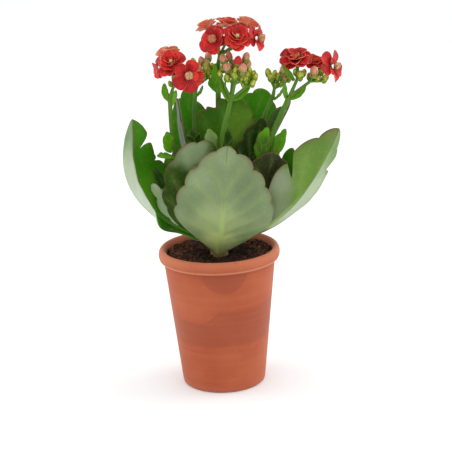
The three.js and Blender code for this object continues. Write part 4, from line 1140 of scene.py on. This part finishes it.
# The pale spots laid over the pink buds are painted highlights.
pink_bud = bud_skin.coat(pink_bud, (bud_noise.step(0.45, 0.65) * 0.5, (232, 200, 166)))
seam = bud_fold.math("COSINE").step(-0.75, -1.0)
bud_skin.colour(
    bud_skin.mix(bud_ripe.step(0.3, 1.0), green_bud, pink_bud),
    (bud_ripe.step(1.3, 1.8) * bud_up.step(0.2, 0.5), (196, 32, 36)),
    (seam * 0.4, (104, 76, 38)),
    # Only the sepals carry a mark below 0, and the riper their bud, the lower it is.
    (bud_ripe.step(0.02, -0.02), (118, 146, 26)),
    (bud_ripe.step(-0.6, -1.1) * 0.5, (146, 122, 72)),
)
bud_skin.rough(0.5)
bud_skin.bump(bud_noise - seam * 0.8, 0.3 * MM)

sprig_patches = [
    ((-16, 0, 188), 15, (30, 60, 4), 0.95, "upper"), ((10, 0, 185), 15, (34, 68, 4), 0.95, "upper"),
    ((-4, -8, 189), 10, (126, 150, 92), 0.9, "upper"),
    ((36, -3, 180), 13, (58, 98, 10), 0.9, "upper"),
]
sprig_skin = leaf_finish("sprig_skin", (88, 156, 0), (104, 146, 30), (2, 2), sprig_patches, 0.15)

for name, stalk in STALKS.items():
    short = name.removeprefix("stalk_")
    tubes = [tube(stalk["path"], stalk["radii"])]
    top = stalk["path"][-1]
    tubes += [tube([top, end], [TWIG["root"], TWIG["end"]], 10) for end in stalk["forks"]]
    buds = []
    for *spot, size, ripe in stalk["buds"]:
        fork = nearest(stalk["forks"], spot)
        axis = unit(unit(np.subtract(spot, fork)) + (0, 0, 1))
        foot = np.array(spot) - axis * BUD_LENGTH * size * 0.5
        tubes.append(tube([fork, tuple(foot + axis)], [TWIG["bud"], TWIG["bud"]], 8))
        across, other = frame_of(axis)
        buds.append(
            placed_copy(bud_pattern, standing(foot, across, other, axis, [size] * 3), ripe + 0.1)
        )
    cups = []
    for owner, spot, facing, *_ in BLOOMS.values():
        if owner == name:
            axis = unit(facing)
            low = np.array(spot) - axis * TWIG_END
            lower = np.array(spot) - axis * TWIG_BEND
            fork = nearest(stalk["forks"], tuple(low))
            tubes.append(tube([fork, tuple(lower), tuple(low)], [TWIG["bloom"]] * 3, 10))
            cups.append(cup(spot, facing))
    wood = grown_together(short + "_stalk", tubes + cups, 0.36)
    finished(wood, stalk_skin, [name])
    blades = [grow_leaf("sprig", spec, 24, 30) for spec in stalk["leaves"]]
    finished(joined(short + "_sprigs", blades), sprig_skin, [name])
    if buds:
        finished(joined(short + "_buds", buds), bud_skin, [name])

bpy.data.objects.remove(bud_pattern)

# ---- Blooms ----------------------------------------------------------------------------------
# Red double flowers: rows of soft petals, the lower ones wide open and the inner ones cupped.
# Each petal is red above and salmon below, with a pale edge; some hold a cream bud in the middle.

PETAL_LENGTH, PETAL_WIDTH = 10.0, 4.4  # of the pattern that every petal is copied from, mm


def petal(cup_by, droop, ripple):
    """A ball pressed thin along +X: narrow at its claw, widest past its middle."""

    def place(up, turn):
        v = np.cos(turn)
        top = np.where(turn >= 0, 1, -1)
        wide = 0.4 + 0.6 * np.sin(np.pi / 2 * np.clip(up / 0.66, 0, 1)) ** 1.2
        past = np.clip((up - 0.66) / 0.34, 0, 1)
        wide = PETAL_WIDTH * wide * (1 - past**2.4) ** 0.6
        thick = 0.22 * np.sqrt(np.clip(1 - v**8, 0, 1)) * top
        bow = 0.18 * PETAL_LENGTH * (0.5 * up - up**2 * droop)
        crease = 0.12 * np.abs(v) ** 0.5 * PETAL_WIDTH * np.clip(1 - up, 0, 1)
        wave = 0.35 * up**2 * np.sin(3.4 * v + ripple) * np.abs(v)
        lift = thick + bow + cup_by * (v * wide) ** 2 / PETAL_WIDTH + crease + wave
        ahead = PETAL_LENGTH * (up - 0.03 * v**2 * up)
        return np.stack([ahead, v * wide, lift], 1), np.stack([up, v, top.astype(float)], 1)

    return drawn_ball("petal", 18, 14, place)


def own_side(name, spot):
    """True where a place is nearer to its own bloom than to any other."""
    here = np.array(BLOOMS[name][1], float)
    for other, (_, there, *_) in BLOOMS.items():
        if other == name:
            continue
        apart = np.array(there, float) - here
        if np.dot(spot - here - apart / 2, unit(apart)) > 0.6:
            return False
    return True


def turned(direction, axis, angle):
    return (
        direction * math.cos(angle)
        + np.cross(axis, direction) * math.sin(angle)
        + axis * np.dot(axis, direction) * (1 - math.cos(angle))
    )


petal_skin = Finish("petal_skin", 0.25, 0.1)
petal_up, petal_out, petal_side = petal_skin.form()
vein_lines = ((petal_out * 14).math("SINE") * 0.5 + 0.5) * petal_skin.noise(200, 2)
face_tone = petal_skin.coat(
    petal_skin.mix(petal_skin.noise(150, 3).step(0.3, 0.7), (160, 6, 14), (226, 34, 34)),
    (vein_lines * 0.3, (246, 84, 68)),
    (petal_up.step(0.4, 0.0) * 0.6, (112, 6, 18)),
    (petal_side.step(1.0, 0.6) * 0.6, (124, 4, 14)),
    (petal_side.step(0.95, 1.15) * 0.5, (246, 64, 48)),
)
back_cloud = petal_skin.noise(120, 3).step(0.3, 0.7)
back_tone = petal_skin.coat(
    petal_skin.mix(back_cloud, (234, 104, 82), (250, 164, 130)),
    (petal_up.step(0.35, 0.05) * 0.5, (160, 140, 80)),
)
rim_mask = abs(petal_out).step(0.92, 1.0).math("MAXIMUM", petal_up.step(0.96, 1.0))
petal_skin.colour(
    petal_skin.mix(petal_side.step(-0.3, 0.3), back_tone, face_tone),
    (rim_mask * 0.5, (246, 158, 126)),
)
petal_skin.rough(0.5)
petal_skin.bump(vein_lines, 0.25 * MM)


def folded_heart(up, turn):
    """The bud still closed in the middle of a bloom, one mm in radius."""
    swell = np.sin(np.pi * np.clip(up * 0.86 + 0.1, 0, 1)) ** 0.7
    r = swell * (1 + 0.035 * np.cos(4 * turn + 5 * up)) * off_poles(up)
    spots = np.stack([r * np.cos(turn), r * np.sin(turn), 1.8 * up], 1)
    return spots, np.stack([up, 4 * turn + 5 * up, 0 * up + 1], 1)


heart_skin = Finish("inner_bud", 0.25, 0.1)
heart_up, heart_fold, heart_shade = heart_skin.form()
heart_seam = heart_fold.math("COSINE").step(-0.5, -1.0)
heart_skin.colour(
    heart_skin.mix(heart_up.step(0.2, 0.85), (150, 88, 62), (196, 158, 110)),
    (heart_seam * 0.55, (132, 56, 42)),
    (heart_skin.noise(500, 3).step(0.45, 0.7) * 0.3, (206, 140, 112)),
    (heart_shade.step(0.9, 0.4) * 0.7, (172, 80, 58)),
    (heart_shade.step(1.0, 2.0), (226, 208, 144)),
)
heart_skin.rough(0.6)
heart_skin.bump(heart_skin.noise(700, 2) * 0.4 - heart_seam, 0.3 * MM)

petal_shapes = ((0.15, 0.3, 0.0), (0.4, 0.7, 2.0), (0.1, 1.0, 4.0), (0.5, 0.2, 5.0))
petal_patterns = [petal(*shape) for shape in petal_shapes]
heart_pattern = drawn_ball("heart_pattern", 40, 20, folded_heart)
PINKER = {"bloom_top_left": 0.5, "bloom_top_right": 0.65}  # third mark of a pinker inner bud
DRAW = random.Random(21)
for name, (_, spot, facing, size, rows, heart) in BLOOMS.items():
    axis = unit(facing)
    across, other = frame_of(axis)
    at = np.array(spot, float)
    petals = []
    for row, (count, lift, share) in enumerate(rows):
        for k in range(count):
            angle = 2 * math.pi * (k + 0.5 * row + DRAW.uniform(-0.16, 0.16)) / count
            out = turned(across, axis, angle)
            tilt = math.radians(lift + DRAW.uniform(-8, 8))
            run = out * math.cos(tilt) + axis * math.sin(tilt)
            rise = axis * math.cos(tilt) - out * math.sin(tilt)
            rise = turned(rise, run, DRAW.uniform(-0.32, 0.32) * (0.4 if rows is CUPPED else 1))
            root = at + axis * (0.4 + 0.42 * row) + out * max(0.5, 1.5 - 0.25 * row)
            length = size * share * DRAW.uniform(0.86, 1.08)
            while length > 4 and not own_side(name, root + run * length):
                length *= 0.93
            broad = 0.5 if count < 7 else 0.4
            width = min(0.52 * length, size * share * broad * DRAW.uniform(0.88, 1.1))
            scale = (length / PETAL_LENGTH, width / PETAL_WIDTH, length / PETAL_LENGTH)
            here = standing(root, run, np.cross(rise, run), rise, scale)
            petals.append(placed_copy(DRAW.choice(petal_patterns), here, DRAW.uniform(0.7, 1.1)))
    finished(joined(name + "_petals", petals), petal_skin, [name])
    if heart:
        here = standing(at + axis * 2.6, across, other, axis, [heart] * 3)
        core = placed_copy(heart_pattern, here, 2.0 if heart < 2 else PINKER.get(name, 1.0))
        core.name = core.data.name = name + "_inner_bud"
        finished(core, heart_skin, [name + "_heart"])
for pattern in (*petal_patterns, heart_pattern):
    bpy.data.objects.remove(pattern)

# ---- Floor, light and camera -----------------------------------------------------------------
# A white sweep of floor under soft light from all round, with a large soft box over each side.

floor = added(bpy.ops.mesh.primitive_plane_add, "floor", size=40)
sweep = Finish("white_floor")
sweep.colour((0.94, 0.975, 0.98, 1))
sweep.rough(0.9)
sweep.set(sweep.shader, "Specular IOR Level", 0.0)
sweep.dress(floor)

world = bpy.data.worlds.new("studio")
world.use_nodes = True
world.node_tree.nodes["Background"].inputs["Color"].default_value = (1, 1, 1, 1)
world.node_tree.nodes["Background"].inputs["Strength"].default_value = 1.055
bpy.context.scene.world = world

for name, place, size, power in (
    ("box_left", (-0.95, 0.2, 0.6), 0.8, 2.4),
    ("box_right", (0.95, 0.2, 0.6), 0.8, 3.6),
):
    box = added(bpy.ops.object.light_add, name, type="AREA", location=place)
    box.data.size = size
    box.data.energy = power
    box.rotation_euler = (Vector((0, 0, 0.13)) - Vector(place)).to_track_quat("-Z", "Y").to_euler()

AIM = Vector((5.8, 0, 120)) * MM
FAR, LIFT, ROLL = 1.1, math.radians(16.3), math.radians(2.34)
FOCAL_PIXELS, FRAME_PIXELS = 1489, 452
eye = AIM + FAR * Vector((0, -math.cos(LIFT), math.sin(LIFT)))
camera = added(bpy.ops.object.camera_add, "camera", location=eye)
turned_up = Matrix.Rotation(math.pi / 2 - LIFT, 4, "X") @ Matrix.Rotation(-ROLL, 4, "Z")
camera.rotation_euler = turned_up.to_euler()
camera.data.sensor_width = 36
camera.data.lens = 36 * FOCAL_PIXELS / FRAME_PIXELS
camera.data.clip_start, camera.data.clip_end = 0.05, 60
bpy.context.scene.camera = camera
bpy.context.scene.view_settings.view_transform = "Standard"
